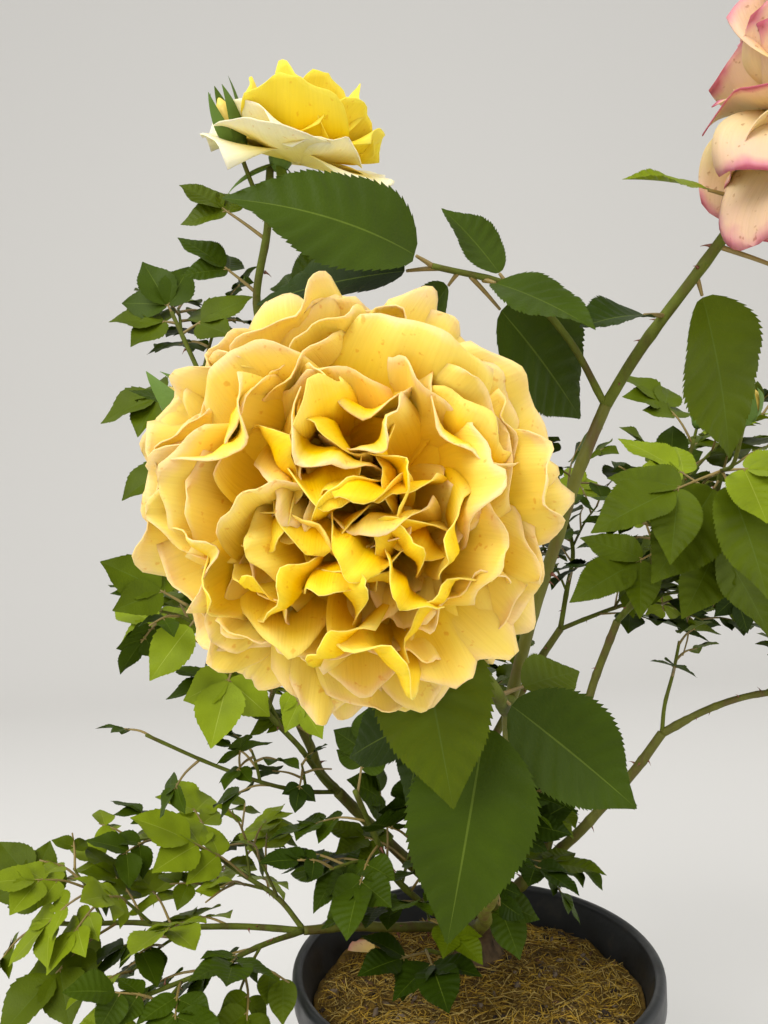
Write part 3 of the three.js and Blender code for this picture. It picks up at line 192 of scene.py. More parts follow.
# Shoots: each is one mass with its own stem, either leafy by the rule or with leaves of its own.
SHOOTS = [
    limb(
        "main_bloom_shoot", "cane_front", [-16, -262, 398], [-51, -280, 452], [2.5, 2.2], seed=11,
        bloom="main", buds=[{"along": 0.72, "tip": [-92, -264, 472]}],
        own_leaves=[
            own_leaf(0.5, [-31, -274, 331], [0, -1, 0.25], 59, 0),
            own_leaf(0.42, [25, -258, 363], [0.15, -1, 0.35], 48, 0),
            own_leaf(0.8, [-29, -279, 373], [-0.1, -1, 0.15], 54, 0, behind=True),
            own_leaf(0.4, [18, -238, 399], [0.1, -0.8, 0.7], 25, 0),
            own_leaf(0.45, [-62, -225, 372], [0, -0.8, 0.6], 36, 1),
        ],
    ),
    limb(
        "upper_leaf_shoot", "cane_pink", [11, -246, 511], [-25, -255, 524], [1.4, 1.1], seed=12,
        own_leaves=[
            own_leaf(1, [-80, -266, 544], [-0.1, -0.92, 0.4], 57, 0, curl=0.36),
            own_leaf(0.97, [-84, -236, 526], [0.1, -0.85, 0.5], 54, 0),
            own_leaf(0.7, [-17, -252, 541], [0.5, -0.8, 0.1], 28, 0),
            own_leaf(0.8, [14, -275, 501], [0.1, -0.75, 0.65], 38, 0),
            own_leaf(0.85, [31, -220, 481], [0, -1, 0.2], 54, 0),
            own_leaf(0.9, [-38, -228, 500], [0.1, -0.8, 0.5], 38, 0),
        ],
    ),
    limb(
        "pink_bloom_shoot", "cane_pink", [52, -243, 512], [82, -262, 552], [2.2, 2.0], seed=13,
        bloom="pink",
        own_leaves=[
            own_leaf(0.62, [80, -224, 464], [0.1, -0.95, 0.3], 58, 0),
            own_leaf(0.45, [17, -267, 503], [-0.1, -0.7, 0.7], 30, 0),
            own_leaf(0.85, [34, -262, 549], [0, -0.6, 0.8], 27, 0),
            own_leaf(0.3, [26, -215, 498], [0, -0.9, 0.4], 24, 0),
            own_leaf(0.72, [132, -238, 506], [0.5, -0.5, 0.7], 40, 1),
            own_leaf(0.55, [79, -252, 511], [0.3, -0.7, 0.7], 24, 0),
        ],
    ),
    limb(
        "mid_front_shoot", "cane_mid", [132, -28, 434], [132, -90, 474], [2.4, 1.7], seed=14,
        buds=[{"along": 1, "tip": [117, -150, 490]}],
        own_leaves=[
            own_leaf(1, [60, -101, 449], [-0.1, -0.75, 0.65], 48, 1),
            own_leaf(0.95, [93, -93, 419], [0, -1, 0.2], 60, 0),
            own_leaf(1, [139, -120, 412], [0.1, -1, 0.25], 60, 0),
            own_leaf(0.6, [57, -62, 412], [0, -0.8, 0.6], 44, 1),
            own_leaf(0.7, [158, -84, 388], [0.2, -0.8, 0.6], 54, 1),
            own_leaf(0.85, [94, -50, 503], [0, -0.6, 0.8], 38, 1),
            own_leaf(1, [176, -128, 470], [0.2, -0.7, 0.7], 46, 1),
        ],
    ),
    limb(
        "top_bloom_shoot", "cane_top", [-99, -122, 520], [-86, -160, 609], [2.5, 2.0], seed=15,
        bloom="top", buds=[{"along": 0.9, "tip": [-97, -172, 609]}],
        own_leaves=[
            own_leaf(0.84, [-128, -150, 611], [0, -0.7, 0.7], 24, 1),
            own_leaf(0.72, [-130, -146, 588], [0, -0.7, 0.7], 26, 1),
            own_leaf(0.62, [-62, -128, 590], [0, -0.7, 0.7], 30, 1),
            own_leaf(0.45, [-30, -110, 545], [0.2, -0.6, 0.7], 36, 2),
            own_leaf(0.35, [-150, -150, 520], [-0.2, -0.6, 0.7], 36, 2),
            own_leaf(0.55, [-100, -60, 590], [-0.2, 0.6, 0.7], 36, 2),
            own_leaf(0.68, [-65, -170, 539], [0, -0.95, 0.3], 42, 0),
        ],
    ),
    limb(
        "left_high_shoot", "cane_top", [-128, -66, 510], [-156, -66, 578], [2.2, 1.4], seed=16,
        own_leaves=[
            own_leaf(1, [-171, -66, 608], [0, -0.8, 0.6], 30, 1),
            own_leaf(0.95, [-190, -70, 576], [0, -0.7, 0.7], 30, 1),
            own_leaf(0.9, [-112, -66, 588], [0, -0.8, 0.6], 32, 1),
            own_leaf(0.7, [-196, -74, 520], [0, -0.7, 0.7], 34, 1),
            own_leaf(0.5, [-182, -84, 476], [0, -0.8, 0.6], 32, 1),
            own_leaf(0.75, [-120, -5, 575], [0, 0.6, 0.8], 38, 2),
            own_leaf(0.45, [-150, 5, 520], [-0.3, 0.6, 0.8], 38, 2),
        ],
    ),
    limb(
        "left_mid_shoot", "cane_left", [-112, -34, 348], [-150, -72, 416], [2.2, 1.4], seed=17,
        own_leaves=[
            own_leaf(1, [-190, -86, 443], [0, -0.8, 0.6], 34, 1),
            own_leaf(0.95, [-168, -84, 380], [0, -0.95, 0.3], 34, 0),
            own_leaf(0.75, [-140, -74, 342], [0, -0.9, 0.4], 36, 1),
            own_leaf(0.6, [-92, -82, 344], [0, -0.9, 0.4], 36, 1),
            own_leaf(0.5, [-180, 10, 380], [-0.4, 0.3, 0.8], 36, 2),
            own_leaf(0.8, [-205, -30, 420], [-0.5, -0.2, 0.8], 34, 2),
        ],
    ),
    limb(
        "left_thin_shoot", "cane_left", [-120, -22, 308], [-180, -52, 345], [1.6, 1.1], seed=18,
        **leafy(4, 0.3, 52, 1, 35, 0.1),
    ),
    limb(
        "left_front_shoot", "graft_union", [-40, -2, 236], [-66, -46, 308], [2.8, 1.8],
        foot=[-4, 36, 199], seed=41, **leafy(7, 0.28, 84, 2, 30, 0.25),
    ),
    limb(
        "inner_front_shoot", "graft_union", [14, 4, 240], [22, -40, 296], [2.4, 1.6], foot=[6, 34, 202],
        seed=23, **leafy(5, 0.35, 78, 2, 35, 0.25),
    ),
    limb(
        "front_basal_shoot", "graft_union", [-14, 2, 196], [-30, -30, 213], [1.8, 1.3],
        foot=[2, 33, 190], seed=20,
        own_leaves=[
            own_leaf(1, [-22, -84, 214], [0, -0.75, 0.65], 36, 1),
            own_leaf(0.9, [-62, -62, 222], [-0.2, -0.6, 0.8], 30, 1),
        ],
    ),
    limb(
        "low_left_shoot", "cane_low_left", [-190, -4, 222], [-262, -8, 228], [2.3, 1.4], seed=31,
        **leafy(8, 0.16, 84, 2, 32, 0.3),
    ),
    limb(
        "low_left_front_shoot", "cane_low_left", [-136, -34, 216], [-180, -68, 214], [2.0, 1.3],
        seed=32, **leafy(5, 0.24, 80, 2, 32, 0.25),
    ),
    limb(
        "low_left_back_shoot", "cane_low_left", [-146, 34, 236], [-210, 62, 256], [2.0, 1.3], seed=33,
        **leafy(6, 0.2, 84, 2, 32, 0.35),
    ),
    limb(
        "right_twig_shoot", "cane_low_right", [136, 20, 345], [142, 12, 376], [1.6, 1.1], seed=24,
        **leafy(3, 0.5, 50, 1, 40, 0.2),
    ),
    limb(
        "outer_right_shoot", "cane_outer_right", [244, -10, 372], [262, -24, 424], [2.2, 1.4], seed=25,
        buds=[{"along": 1}], **leafy(6, 0.22, 98, 2, 35, 0.35),
    ),
    limb(
        "far_right_shoot", "cane_outer_right", [246, 16, 342], [288, 26, 358], [2.0, 1.3], seed=26,
        **leafy(5, 0.3, 84, 2, 35, 0.3),
    ),
    limb(
        "mid_high_shoot", "cane_mid", [150, 50, 440], [172, 40, 510], [2.3, 1.5], seed=27,
        buds=[{"along": 1}], **leafy(6, 0.3, 100, 2, 35, 0.3),
    ),
    limb(
        "back_left_shoot", "cane_back_left", [-92, 104, 460], [-96, 70, 520], [2.4, 1.5], seed=28,
        buds=[{"along": 1}], **leafy(7, 0.2, 96, 2, 35, 0.3),
    ),
    limb(
        "back_left_low_shoot", "cane_back_left", [-126, 126, 416], [-176, 112, 436], [2.2, 1.4],
        seed=29, **leafy(6, 0.2, 90, 2, 35, 0.3),
    ),
    limb(
        "back_middle_shoot", "cane_back", [6, 132, 350], [0, 116, 450], [2.6, 1.6], seed=30,
        **leafy(8, 0.2, 98, 2, 35, 0.3),
    ),
    limb(
        "back_right_shoot", "cane_back_right", [104, 128, 436], [92, 108, 498], [2.4, 1.5], seed=34,
        **leafy(6, 0.2, 94, 2, 35, 0.3),
    ),
    limb(
        "back_right_low_shoot", "cane_back_right", [144, 134, 392], [194, 118, 404], [2.2, 1.4],
        seed=35, **leafy(6, 0.2, 90, 2, 35, 0.3),
    ),
]

# Blooms: petals in one spiral round an axis, from the guard petals to the heart.
# "line" gives at shares of the way in (share, reach of the tip from the axis, its height, petal width).
# "aim" is the way that the petals face, and "shift" moves their foot off the end of the stem.
# "parting" is how far the bundles of a quartered heart stand from its middle.
# "ball" is the room that the bloom claims: its reach and its rise.
# "grid" is how many points a petal has along and across, "seed" what its chances are dealt from,
# and "zones" the shares of the way in up to which each finish reaches.
# "sink" lowers the heart against the guard petals, "frill" waves the rims, "roll" turns the lips back
# (degrees, least and most), "wild" is how far the petals stray from their even places, and "droop"
# is how far the lower petals hang open. "sepals" is the length of the sepals.
BLOOMS = {
    "main": {
        "axis": [0.03, -1, -0.1],
        "aim": [0.03, -1, -0.1],
        "shift": [0, 0, 0],
        "parting": 17,
        "ball": [57, 43],
        "sink": [0, 0, -9],
        "petals": 124,
        "grid": (20, 17),
        "seed": 71,
        "zones": [0.3, 0.75, 1],
        "sepals": 24,
        "line": [
            (0, 56, 0, 37), (0.25, 51, 12, 36), (0.5, 42, 23, 33),
            (0.72, 31, 33, 29), (0.88, 21, 38, 25), (1, 8, 38, 21),
        ],
        "frill": 3.2,
        "roll": (20, 110),
        "wild": 1.0,
        "droop": 1.0,
    },
    "pink": {
        "axis": [0.1, -0.16, 1],
        "aim": [0.16, -0.2, 1],
        "shift": [7, -13, 0],
        "parting": 0,
        "ball": [31, 57],
        "sink": [0, 0, 0],
        "petals": 32,
        "grid": (20, 17),
        "seed": 73,
        "zones": [0.55, 1],
        "sepals": 13,
        "line": [
            (0, 22, -40, 46), (0.15, 27, -14, 46), (0.3, 28, 8, 46), (0.45, 27, 26, 44),
            (0.65, 24, 44, 40), (0.84, 17, 56, 34), (1, 8, 57, 24),
        ],
        "frill": 2.0,
        "roll": (10, 50),
        "wild": 0.4,
        "droop": 0.0,
    },
    "top": {
        "axis": [0.62, -0.3, 1],
        "aim": [0.34, -0.42, 1],
        "shift": [13, 0, 0],
        "parting": 0,
        "ball": [44, 40],
        "sink": [0, 0, 0],
        "petals": 22,
        "grid": (17, 15),
        "seed": 79,
        "zones": [0.42, 1],
        "sepals": 24,
        "line": [(0, 44, 3, 42), (0.22, 41, 9, 42), (0.45, 31, 24, 40), (0.72, 20, 34, 38), (1, 9, 36, 30)],
        "frill": 1.8,
        "roll": (10, 90),
        "wild": 0.3,
        "droop": 0.0,
    },
}

# Vectors of three numbers
def add(a, b):
    return (a[0] + b[0], a[1] + b[1], a[2] + b[2])


def sub(a, b):
    return (a[0] - b[0], a[1] - b[1], a[2] - b[2])


def mul(a, k):
    return (a[0] * k, a[1] * k, a[2] * k)


def dot(a, b):
    return a[0] * b[0] + a[1] * b[1] + a[2] * b[2]


def cross(a, b):
    return (a[1] * b[2] - a[2] * b[1], a[2] * b[0] - a[0] * b[2], a[0] * b[1] - a[1] * b[0])


def size(a):
    return math.sqrt(dot(a, a))


def unit(a):
    return mul(a, 1 / size(a))


def blend(a, b, t):
    return add(mul(a, 1 - t), mul(b, t))


def across(a, along):
    return unit(sub(a, mul(along, dot(a, along))))


CHANCE_LIMIT = 2147483647


def seeded(seed):
    """A stream of chances between 0 and 1, the same each time for one seed."""
    state = (seed * 7919 + 104729) % CHANCE_LIMIT

    def draw():
        nonlocal state
        state = (state * 16807) % CHANCE_LIMIT
        return state / CHANCE_LIMIT

    return draw


# The rule of the plant: limbs first, then leaves that keep clear of all that is there
def spine_of(foot, bend, tip, kink):
    pull = sub(mul(bend, 2), mul(add(foot, tip), 0.5))
    reach = size(sub(bend, foot)) + size(sub(tip, bend))
    steps = max(3, math.floor(reach / STEP_LENGTH + 0.5))
    sideways = unit((-(tip[1] - foot[1]) - 0.01, tip[0] - foot[0], 0))
    spine = []
    for i in range(steps + 1):
        t = i / steps
        bow = add(add(mul(foot, (1 - t) * (1 - t)), mul(pull, 2 * t * (1 - t))), mul(tip, t * t))
        sway = 0 if i in (0, steps) else kink * (1 if i % 2 == 0 else -1)
        spine.append(add(bow, mul(sideways, sway)))
    return spine


def point_on(spine, along):
    place = along * (len(spine) - 1)
    step = min(math.floor(place), len(spine) - 2)
    return blend(spine[step], spine[step + 1], place - step), unit(sub(spine[step + 1], spine[step]))


def out_of_stem(heading, turn):
    """The way out of a stem at a turn round it."""
    flat = unit(cross(heading, (0.02, 0.01, 1)))
    upright = cross(flat, heading)
    return add(mul(flat, math.cos(turn)), mul(upright, math.sin(turn)))


def leaflet_at(base, ahead, face, length, breadth, curl):
    facing = across(face, ahead)
    return {
        "base": base, "ahead": ahead, "facing": facing, "side": cross(facing, ahead),
        "length": length, "breadth": breadth, "curl": curl,
    }


def compound_leaf(leaf, foot, ahead, stalk_length, chance):
    """The plan of a leaf: its stalk and its leaflets, the end one first."""
    blade = leaf["blade"]
    stalk = [foot]
    headings = []
    heading = ahead
    facing = across(leaf["face"], ahead)
    for i in range(STALK_STEPS):
        heading = unit(sub(heading, mul(facing, leaf["droop"] / STALK_STEPS)))
        facing = across(facing, heading)
        stalk.append(add(stalk[i], mul(heading, stalk_length / STALK_STEPS)))
        headings.append((heading, facing))
    breadth = LEAFLET_BREADTH * (0.92 + 0.16 * chance())
    root = mul(heading, -2 * ROOT_DEPTH)
    leaflets = [leaflet_at(add(stalk[-1], root), heading, facing, blade, blade * breadth, leaf["curl"])]
    for pair in range(leaf["pairs"]):
        for hand in (-1, 1):
            place = PAIR_PLACES[pair] - (0.02 if hand > 0 else 0.07) - 0.03 * chance()
            spread = math.radians(PAIR_SPREAD + 16 * (chance() - 0.5))
            tilt = 0.45 * (chance() - 0.5) - 0.1
            point, _ = point_on(stalk, place)
            step = min(STALK_STEPS - 1, math.floor(place * STALK_STEPS))
            local_heading, local_facing = headings[step]
            side = mul(cross(local_facing, local_heading), hand)
            outward = add(mul(local_heading, math.cos(spread)), mul(side, math.sin(spread)))
            direction = unit(add(outward, mul(local_facing, tilt)))
            length = blade * PAIR_SIZES[pair] * (0.92 + 0.16 * chance())
            base = add(point, mul(direction, -ROOT_DEPTH))
            leaflets.append(leaflet_at(base, direction, local_facing, length, length * breadth, leaf["curl"]))
    return {"stalk": stalk, "leaflets": leaflets}


def half_breadth(share):
    """Half a leaflet's breadth at a share of its length, as a share of the whole breadth."""
    return 0.5 * np.power(np.maximum(np.sin(np.pi * np.power(share, 0.75)), 0), 0.85)


def leaflet_lift(leaflet, share, offset):
    return LEAFLET_FOLD * np.abs(offset) - leaflet["curl"] * leaflet["length"] * share * share


def leaflet_points(leaflet, share, offset, height):
    """Points on a leaflet at shares of its length and offsets across it, as an array."""
    lift = leaflet_lift(leaflet, share, offset) + height
    base = np.array(leaflet["base"])
    ahead = np.array(leaflet["ahead"]) * leaflet["length"]
    points = base + np.multiply.outer(share, ahead)
    points = points + np.multiply.outer(offset, np.array(leaflet["side"]))
    return points + np.multiply.outer(lift, np.array(leaflet["facing"]))


RIM_SHARES = np.array([0, 0.27, 0.66, 1, 0.66, 0.27])
RIM_SIDES = np.array([0, 1, 1, 0, -1, -1])
RIM_PARTS = 4


def rim_samples(leaflet):
    """Five points along each of the six edges round a leaflet."""
    offset = RIM_SIDES * half_breadth(RIM_SHARES) * leaflet["breadth"]
    rim = leaflet_points(leaflet, RIM_SHARES, offset, 0)
    t = np.arange(RIM_PARTS + 1) / RIM_PARTS
    return rim[:, None, :] * (1 - t)[None, :, None] + np.roll(rim, -1, axis=0)[:, None, :] * t[None, :, None]


def place_against(leaflet, points):
    """How far along, across and over a leaflet's blade each point lies."""
    offset = points - np.array(leaflet["base"])
    x = offset @ np.array(leaflet["ahead"])
    y = offset @ np.array(leaflet["side"])
    share = np.clip(x / leaflet["length"], 0, 1)
    height = offset @ np.array(leaflet["facing"]) - leaflet_lift(leaflet, share, y)
    return x, y, share, height


def lies_over(leaflet, x, y, share, margin):
    inside = (x >= -margin) & (x <= leaflet["length"] + margin)
    return inside & (np.abs(y) < half_breadth(share) * leaflet["breadth"] + margin)


def rim_crosses(samples, leaflet, margin):
    x, y, share, height = place_against(leaflet, samples)
    over = lies_over(leaflet, x, y, share, margin)
    near = (np.abs(height[:, 1:]) < margin) | (height[:, :-1] * height[:, 1:] < 0)
    return bool(np.any(near & (over[:, 1:] | over[:, :-1])))


def hits_pot(points):
    """Whether any of the points comes near the pot or the ground."""
    over_pot = np.hypot(points[:, 0], points[:, 1]) < POT_MOUTH_RADIUS + CLEAR_OF_POT
    over_pot &= points[:, 2] < POT_HEIGHT + CLEAR_OF_POT
    return bool(np.any(over_pot | (points[:, 2] < CLEAR_OF_POT)))


class Crown:
    """What has been placed so far: balls along the limbs, and the leaflets."""

    def __init__(self):
        self.centres = np.zeros((0, 3))
        self.radii = np.zeros(0)
        self.owners = []
        self.owner_list = np.zeros(0, dtype=int)
        self.bearers = np.zeros(0, dtype=int)
        self.leaflets = []
        self.middles = np.zeros((0, 3))
        self.lengths = np.zeros(0)

    def number(self, owner):
        if owner not in self.owners:
            self.owners.append(owner)
        return self.owners.index(owner)

    def add_ball(self, bearer, centre, radius):
        """A ball that nobody owns, such as the room of a bloom, with the shoot that bears it."""
        self.centres = np.vstack([self.centres, centre])
        self.radii = np.append(self.radii, radius)
        self.owner_list = np.append(self.owner_list, self.number(""))
        self.bearers = np.append(self.bearers, self.number(bearer))

    def add_balls(self, owner, path, radii):
        centres = []
        sizes = []
        for i in range(len(path) - 1):
            steps = max(1, math.ceil(size(sub(path[i + 1], path[i])) / BALL_STEP))
            for k in range(steps + 1):
                t = k / steps
                centres.append(blend(path[i], path[i + 1], t))
                sizes.append(radii[i] * (1 - t) + radii[i + 1] * t)
        self.centres = np.vstack([self.centres, centres])
        self.radii = np.concatenate([self.radii, sizes])
        self.owner_list = np.concatenate([self.owner_list, np.full(len(sizes), self.number(owner))])
        self.bearers = np.concatenate([self.bearers, np.full(len(sizes), -1)])

    def away_from_home(self, owner, foot):
        """Which balls are not of the same shoot close to the foot of its leaf."""
        near_foot = np.linalg.norm(self.centres - foot, axis=1) < HOME_REACH
        return ~((self.owner_list == self.number(owner)) & near_foot)

    def leaflet_is_free(self, leaflet, owner, foot, samples, behind):
        corners = samples[:, 0, :]
        if hits_pot(corners):
            return False
        middle = np.array(middle_of(leaflet))
        apart = np.linalg.norm(self.centres - middle, axis=1)
        own_bloom = self.bearers == self.number(owner)
        for centre, radius in zip(self.centres[own_bloom], self.radii[own_bloom]):
            if not behind and np.any(np.linalg.norm(corners - centre, axis=1) < radius):
                return False
        look = apart <= leaflet["length"] / 2 + self.radii + LOOK_FURTHER
        look &= self.away_from_home(owner, foot) & ~own_bloom
        if np.any(look):
            radius = self.radii[look] + CLEAR_OF_LIMB
            x, y, share, height = place_against(leaflet, self.centres[look])
            if np.any((np.abs(height) < radius) & lies_over(leaflet, x, y, share, radius)):
                return False
        if not self.leaflets:
            return True
        reach = (leaflet["length"] + self.lengths) / 2 + LOOK_FURTHER
        for i in np.nonzero(np.linalg.norm(self.middles - middle, axis=1) <= reach)[0]:
            other = self.leaflets[i]
            margin = CLEAR_AT_HOME if other["owner"] == owner else CLEAR_OF_LEAF
            if rim_crosses(samples, other["leaflet"], margin):
                return False
            if rim_crosses(other["samples"], leaflet, margin):
                return False
        return True

    def stalk_is_free(self, stalk, owner, foot, behind=False):
        points = []
        for i in range(len(stalk) - 1):
            points += [blend(stalk[i], stalk[i + 1], t) for t in (0, 0.33, 0.67, 1)]
        points = np.array(points)
        if hits_pot(points):
            return False
        away = self.away_from_home(owner, foot)
        if behind:
            away &= self.bearers != self.number(owner)
        for point in points:
            apart = np.linalg.norm(self.centres - point, axis=1)
            if np.any((apart < self.radii + STALK_RADIUS + CLEAR_OF_LIMB) & away):
                return False
        if not self.leaflets:
            return True
        radius = STALK_RADIUS + CLEAR_OF_LEAF
        apart = np.linalg.norm(self.middles[:, None, :] - points[None, :, :], axis=2).min(axis=1)
        for i in np.nonzero(apart <= self.lengths + LOOK_FURTHER)[0]:
            other = self.leaflets[i]
            x, y, share, height = place_against(other["leaflet"], points)
            if np.any((np.abs(height) < radius) & lies_over(other["leaflet"], x, y, share, radius)):
                return False
        return True

    def place_leaf(self, owner, foot, plan_of, behind=False):
        """Tries a leaf a few ways and takes the first that keeps all its leaflets, or else the fullest.

        A leaf that stands behind the bloom of its own shoot may reach into the bloom's room.
        """
        best = None
        for attempt in range(LEAF_TRIES):
            plan = plan_of(attempt)
            if not self.stalk_is_free(plan["stalk"], owner, foot, behind):
                continue
            samples = [rim_samples(leaflet) for leaflet in plan["leaflets"]]
            free = [
                (leaflet, rim)
                for leaflet, rim in zip(plan["leaflets"], samples)
                if self.leaflet_is_free(leaflet, owner, foot, rim, behind)
            ]
            if best is None or len(free) > len(best["free"]):
                best = {"stalk": plan["stalk"], "free": free}
            if len(free) == len(plan["leaflets"]):
                break
        if best is None or not best["free"]:
            return None
        self.add_balls(owner, best["stalk"], [STALK_RADIUS] * len(best["stalk"]))
        for leaflet, rim in best["free"]:
            self.leaflets.append({"owner": owner, "leaflet": leaflet, "samples": rim})
            self.middles = np.vstack([self.middles, middle_of(leaflet)])
            self.lengths = np.append(self.lengths, leaflet["length"])
        leaflets = [leaflet for leaflet, _ in best["free"]]
        return {"stalk": best["stalk"], "leaflets": leaflets, "owner": owner}


def middle_of(leaflet):
    return add(leaflet["base"], mul(leaflet["ahead"], leaflet["length"] / 2))


def chances_for(shoot, index, attempt):
    """The chances of one try at one leaf of a shoot."""
    return seeded(shoot["seed"] * 1000 + index * 10 + attempt)


def set_leaf(crown, shoot, spine, leaf, index):
    """Places a leaf whose place is given in the table."""
    point, _ = point_on(spine, leaf["along"])

    def plan(attempt):
        chance = chances_for(shoot, index, attempt)
        nudge = (chance() - 0.5, chance() - 0.5, chance() - 0.5)
        curl = leaf.get("curl", LEAFLET_CURL)
        straight = sub(add(leaf["tip"], mul(nudge, attempt * 5)), point)
        toward = add(straight, mul(across(leaf["face"], unit(straight)), curl * leaf["blade"]))
        stalk_length = max(5, size(toward) - leaf["blade"])
        shaped = {**leaf, "curl": curl, "droop": SET_LEAF_DROOP}
        return compound_leaf(shaped, point, unit(toward), stalk_length, chance)

    return crown.place_leaf(shoot["name"], point, plan, leaf.get("behind", False))


def rule_leaf(crown, shoot, spine, index, count):
    """Places one of the leaves that stand round a stem by the seeded rule."""
    along = shoot["bare"] + ((1 - shoot["bare"]) * (index + 0.8)) / count
    point, heading = point_on(spine, min(along, 1))

    def plan(attempt):
        chance = chances_for(shoot, index, attempt)
        turn = math.radians(index * NODE_TURN + 40 * attempt + 30 * (chance() - 0.5))
        outward = out_of_stem(heading, turn)
        lift = math.radians(shoot["lift"] + 16 * (chance() - 0.5) + (25 if along > 0.9 else 0))
        leaning = add(mul(outward, math.cos(lift)), mul(heading, math.sin(lift)))
        ahead = unit(add(leaning, (0, 0, shoot["rise"])))
        sideways = 0.7 * (chance() - 0.5) + 0.25 * outward[0]
        face = (sideways, 0.7 * (chance() - 0.5) + 0.25 * outward[1] - 0.15, 0.9)
        young = 1 - 0.3 * along * along
        whole = shoot["leaf_length"] * young * (0.85 + 0.3 * chance())
        blade = whole * LEAF_BLADE_SHARE
        droop = 0.45 + 0.35 * chance()
        leaf = {"face": face, "blade": blade, "pairs": shoot["pairs"], "droop": droop, "curl": LEAFLET_CURL}
        return compound_leaf(leaf, point, ahead, whole - blade, chance)

    return crown.place_leaf(shoot["name"], point, plan)


def bud_of(bud, spine):
    point, heading = point_on(spine, bud["along"])
    if "tip" not in bud:
        tip = add(point, mul(heading, BUD_STALK_LENGTH))
        return {"stalk": [point, tip], "tip": tip, "heading": heading}
    middle = add(blend(point, bud["tip"], 0.5), (0, 0, -0.12 * size(sub(bud["tip"], point))))
    return {"stalk": [point, middle, bud["tip"]], "tip": bud["tip"], "heading": unit(sub(bud["tip"], middle))}


def tone(red, green, blue):
    """A colour given in display values from 0 to 255, as the renderer's linear values."""
    shares = [value / 255 for value in (red, green, blue)]
    return tuple(s / 12.92 if s <= 0.04045 else ((s + 0.055) / 1.055) ** 2.4 for s in shares)


# Meshes that grow point by point
class Growth:
    """The points, faces, slots and flat places of one piece while it grows, in millimetres."""

    def __init__(self):
        self.points = []
        self.blocks = []
        self.slots = []
        self.places = []
        self.cells = []
        self.count = 0
        self.parts = 0

    def grow(self, points, blocks, slots, places=None):
        """Adds points and blocks of like faces, quads or triangles, each block with its slots."""
        points = np.asarray(points, dtype=float).reshape(-1, 3)
        self.points.append(points)
        for block, slot in zip(blocks, slots):
            block = np.asarray(block, dtype=int)
            self.blocks.append(block + self.count)
            self.slots.append(np.broadcast_to(np.asarray(slot, dtype=int), (len(block),)))
        flat = np.zeros((len(points), 2)) if places is None else np.asarray(places, dtype=float)
        self.places.append(flat.reshape(-1, 2))
        self.cells.append(np.full(len(points), self.parts))
        self.count += len(points)
        self.parts += 1

    def made(self, name, finishes, mapped=False):
        """The finished object; a mapped one keeps the places on its parts and a sheet of them all."""
        mesh = bpy.data.meshes.new(name)
        points = np.concatenate(self.points)
        corners = np.concatenate([block.ravel() for block in self.blocks])
        sizes = np.concatenate([np.full(len(block), block.shape[1]) for block in self.blocks])
        starts = np.concatenate([[0], np.cumsum(sizes)[:-1]])
        mesh.vertices.add(len(points))
        mesh.vertices.foreach_set("co", (points * MM).ravel())
        mesh.loops.add(len(corners))
        mesh.loops.foreach_set("vertex_index", corners.astype(np.int32))
        mesh.polygons.add(len(sizes))
        mesh.polygons.foreach_set("loop_start", starts.astype(np.int32))
        mesh.polygons.foreach_set("material_index", np.concatenate(self.slots).astype(np.int32))
        mesh.polygons.foreach_set("use_smooth", np.ones(len(sizes), dtype=bool))
        if mapped:
            self.lay_maps(mesh, corners)
        mesh.update(calc_edges=True)
        mesh.validate()
        for finish in finishes:
            mesh.materials.append(finish.material)
        thing = bpy.data.objects.new(name, mesh)
        bpy.context.scene.collection.objects.link(thing)
        return thing

    def lay_maps(self, mesh, corners):
        places = np.concatenate(self.places)
        cells = np.concatenate(self.cells)
        columns = math.ceil(math.sqrt(self.parts))
        origin = np.stack([cells % columns, cells // columns], axis=1)
        sheet = (origin + 0.03 + 0.94 * places) / columns * (0.5, 1)
        for name, values in (("OFBake", sheet), ("Place", places)):
            layer = mesh.uv_layers.new(name=name)
            layer.data.foreach_set("uv", values[corners].ravel())
        mesh.uv_layers["OFBake"].active_render = True


def grid_faces(rows, columns, ring=False):
    """The quads of a grid of points, joined round when it is a ring."""
    across_count = columns if ring else columns - 1
    row = np.arange(rows - 1)[:, None]
    column = np.arange(across_count)[None, :]
    after = (column + 1) % columns
    a = row * columns + column
    b = row * columns + after
    quads = np.stack([a, b, b + columns, a + columns], axis=-1)
    return quads.reshape(-1, 4)


def flowing(spine, parts):
    """A smooth path through the points of a spine."""
    points = np.array(spine, dtype=float)
    padded = np.vstack([2 * points[0] - points[1], points, 2 * points[-1] - points[-2]])
    path = []
    for i in range(len(points) - 1):
        a, b, c, d = padded[i : i + 4]
        for k in range(parts):
            t = k / parts
            middle = (2 * a - 5 * b + 4 * c - d) * t * t + (3 * b - a - 3 * c + d) * t * t * t
            path.append(0.5 * (2 * b + (c - a) * t + middle))
    path.append(points[-1])
    return np.array(path)


def frames_along(path):
    """Two directions square to a path at each of its points, carried along without twist."""
    tangents = np.gradient(path, axis=0)
    tangents /= np.linalg.norm(tangents, axis=1)[:, None]
    first = np.cross(tangents[0], (0.13, 0.31, 0.94) if abs(tangents[0][2]) < 0.9 else (1.0, 0.1, 0.0))
    rights = [first / np.linalg.norm(first)]
    for tangent in tangents[1:]:
        carried = rights[-1] - tangent * np.dot(rights[-1], tangent)
        rights.append(carried / np.linalg.norm(carried))
    rights = np.array(rights)
    return tangents, rights, np.cross(tangents, rights)


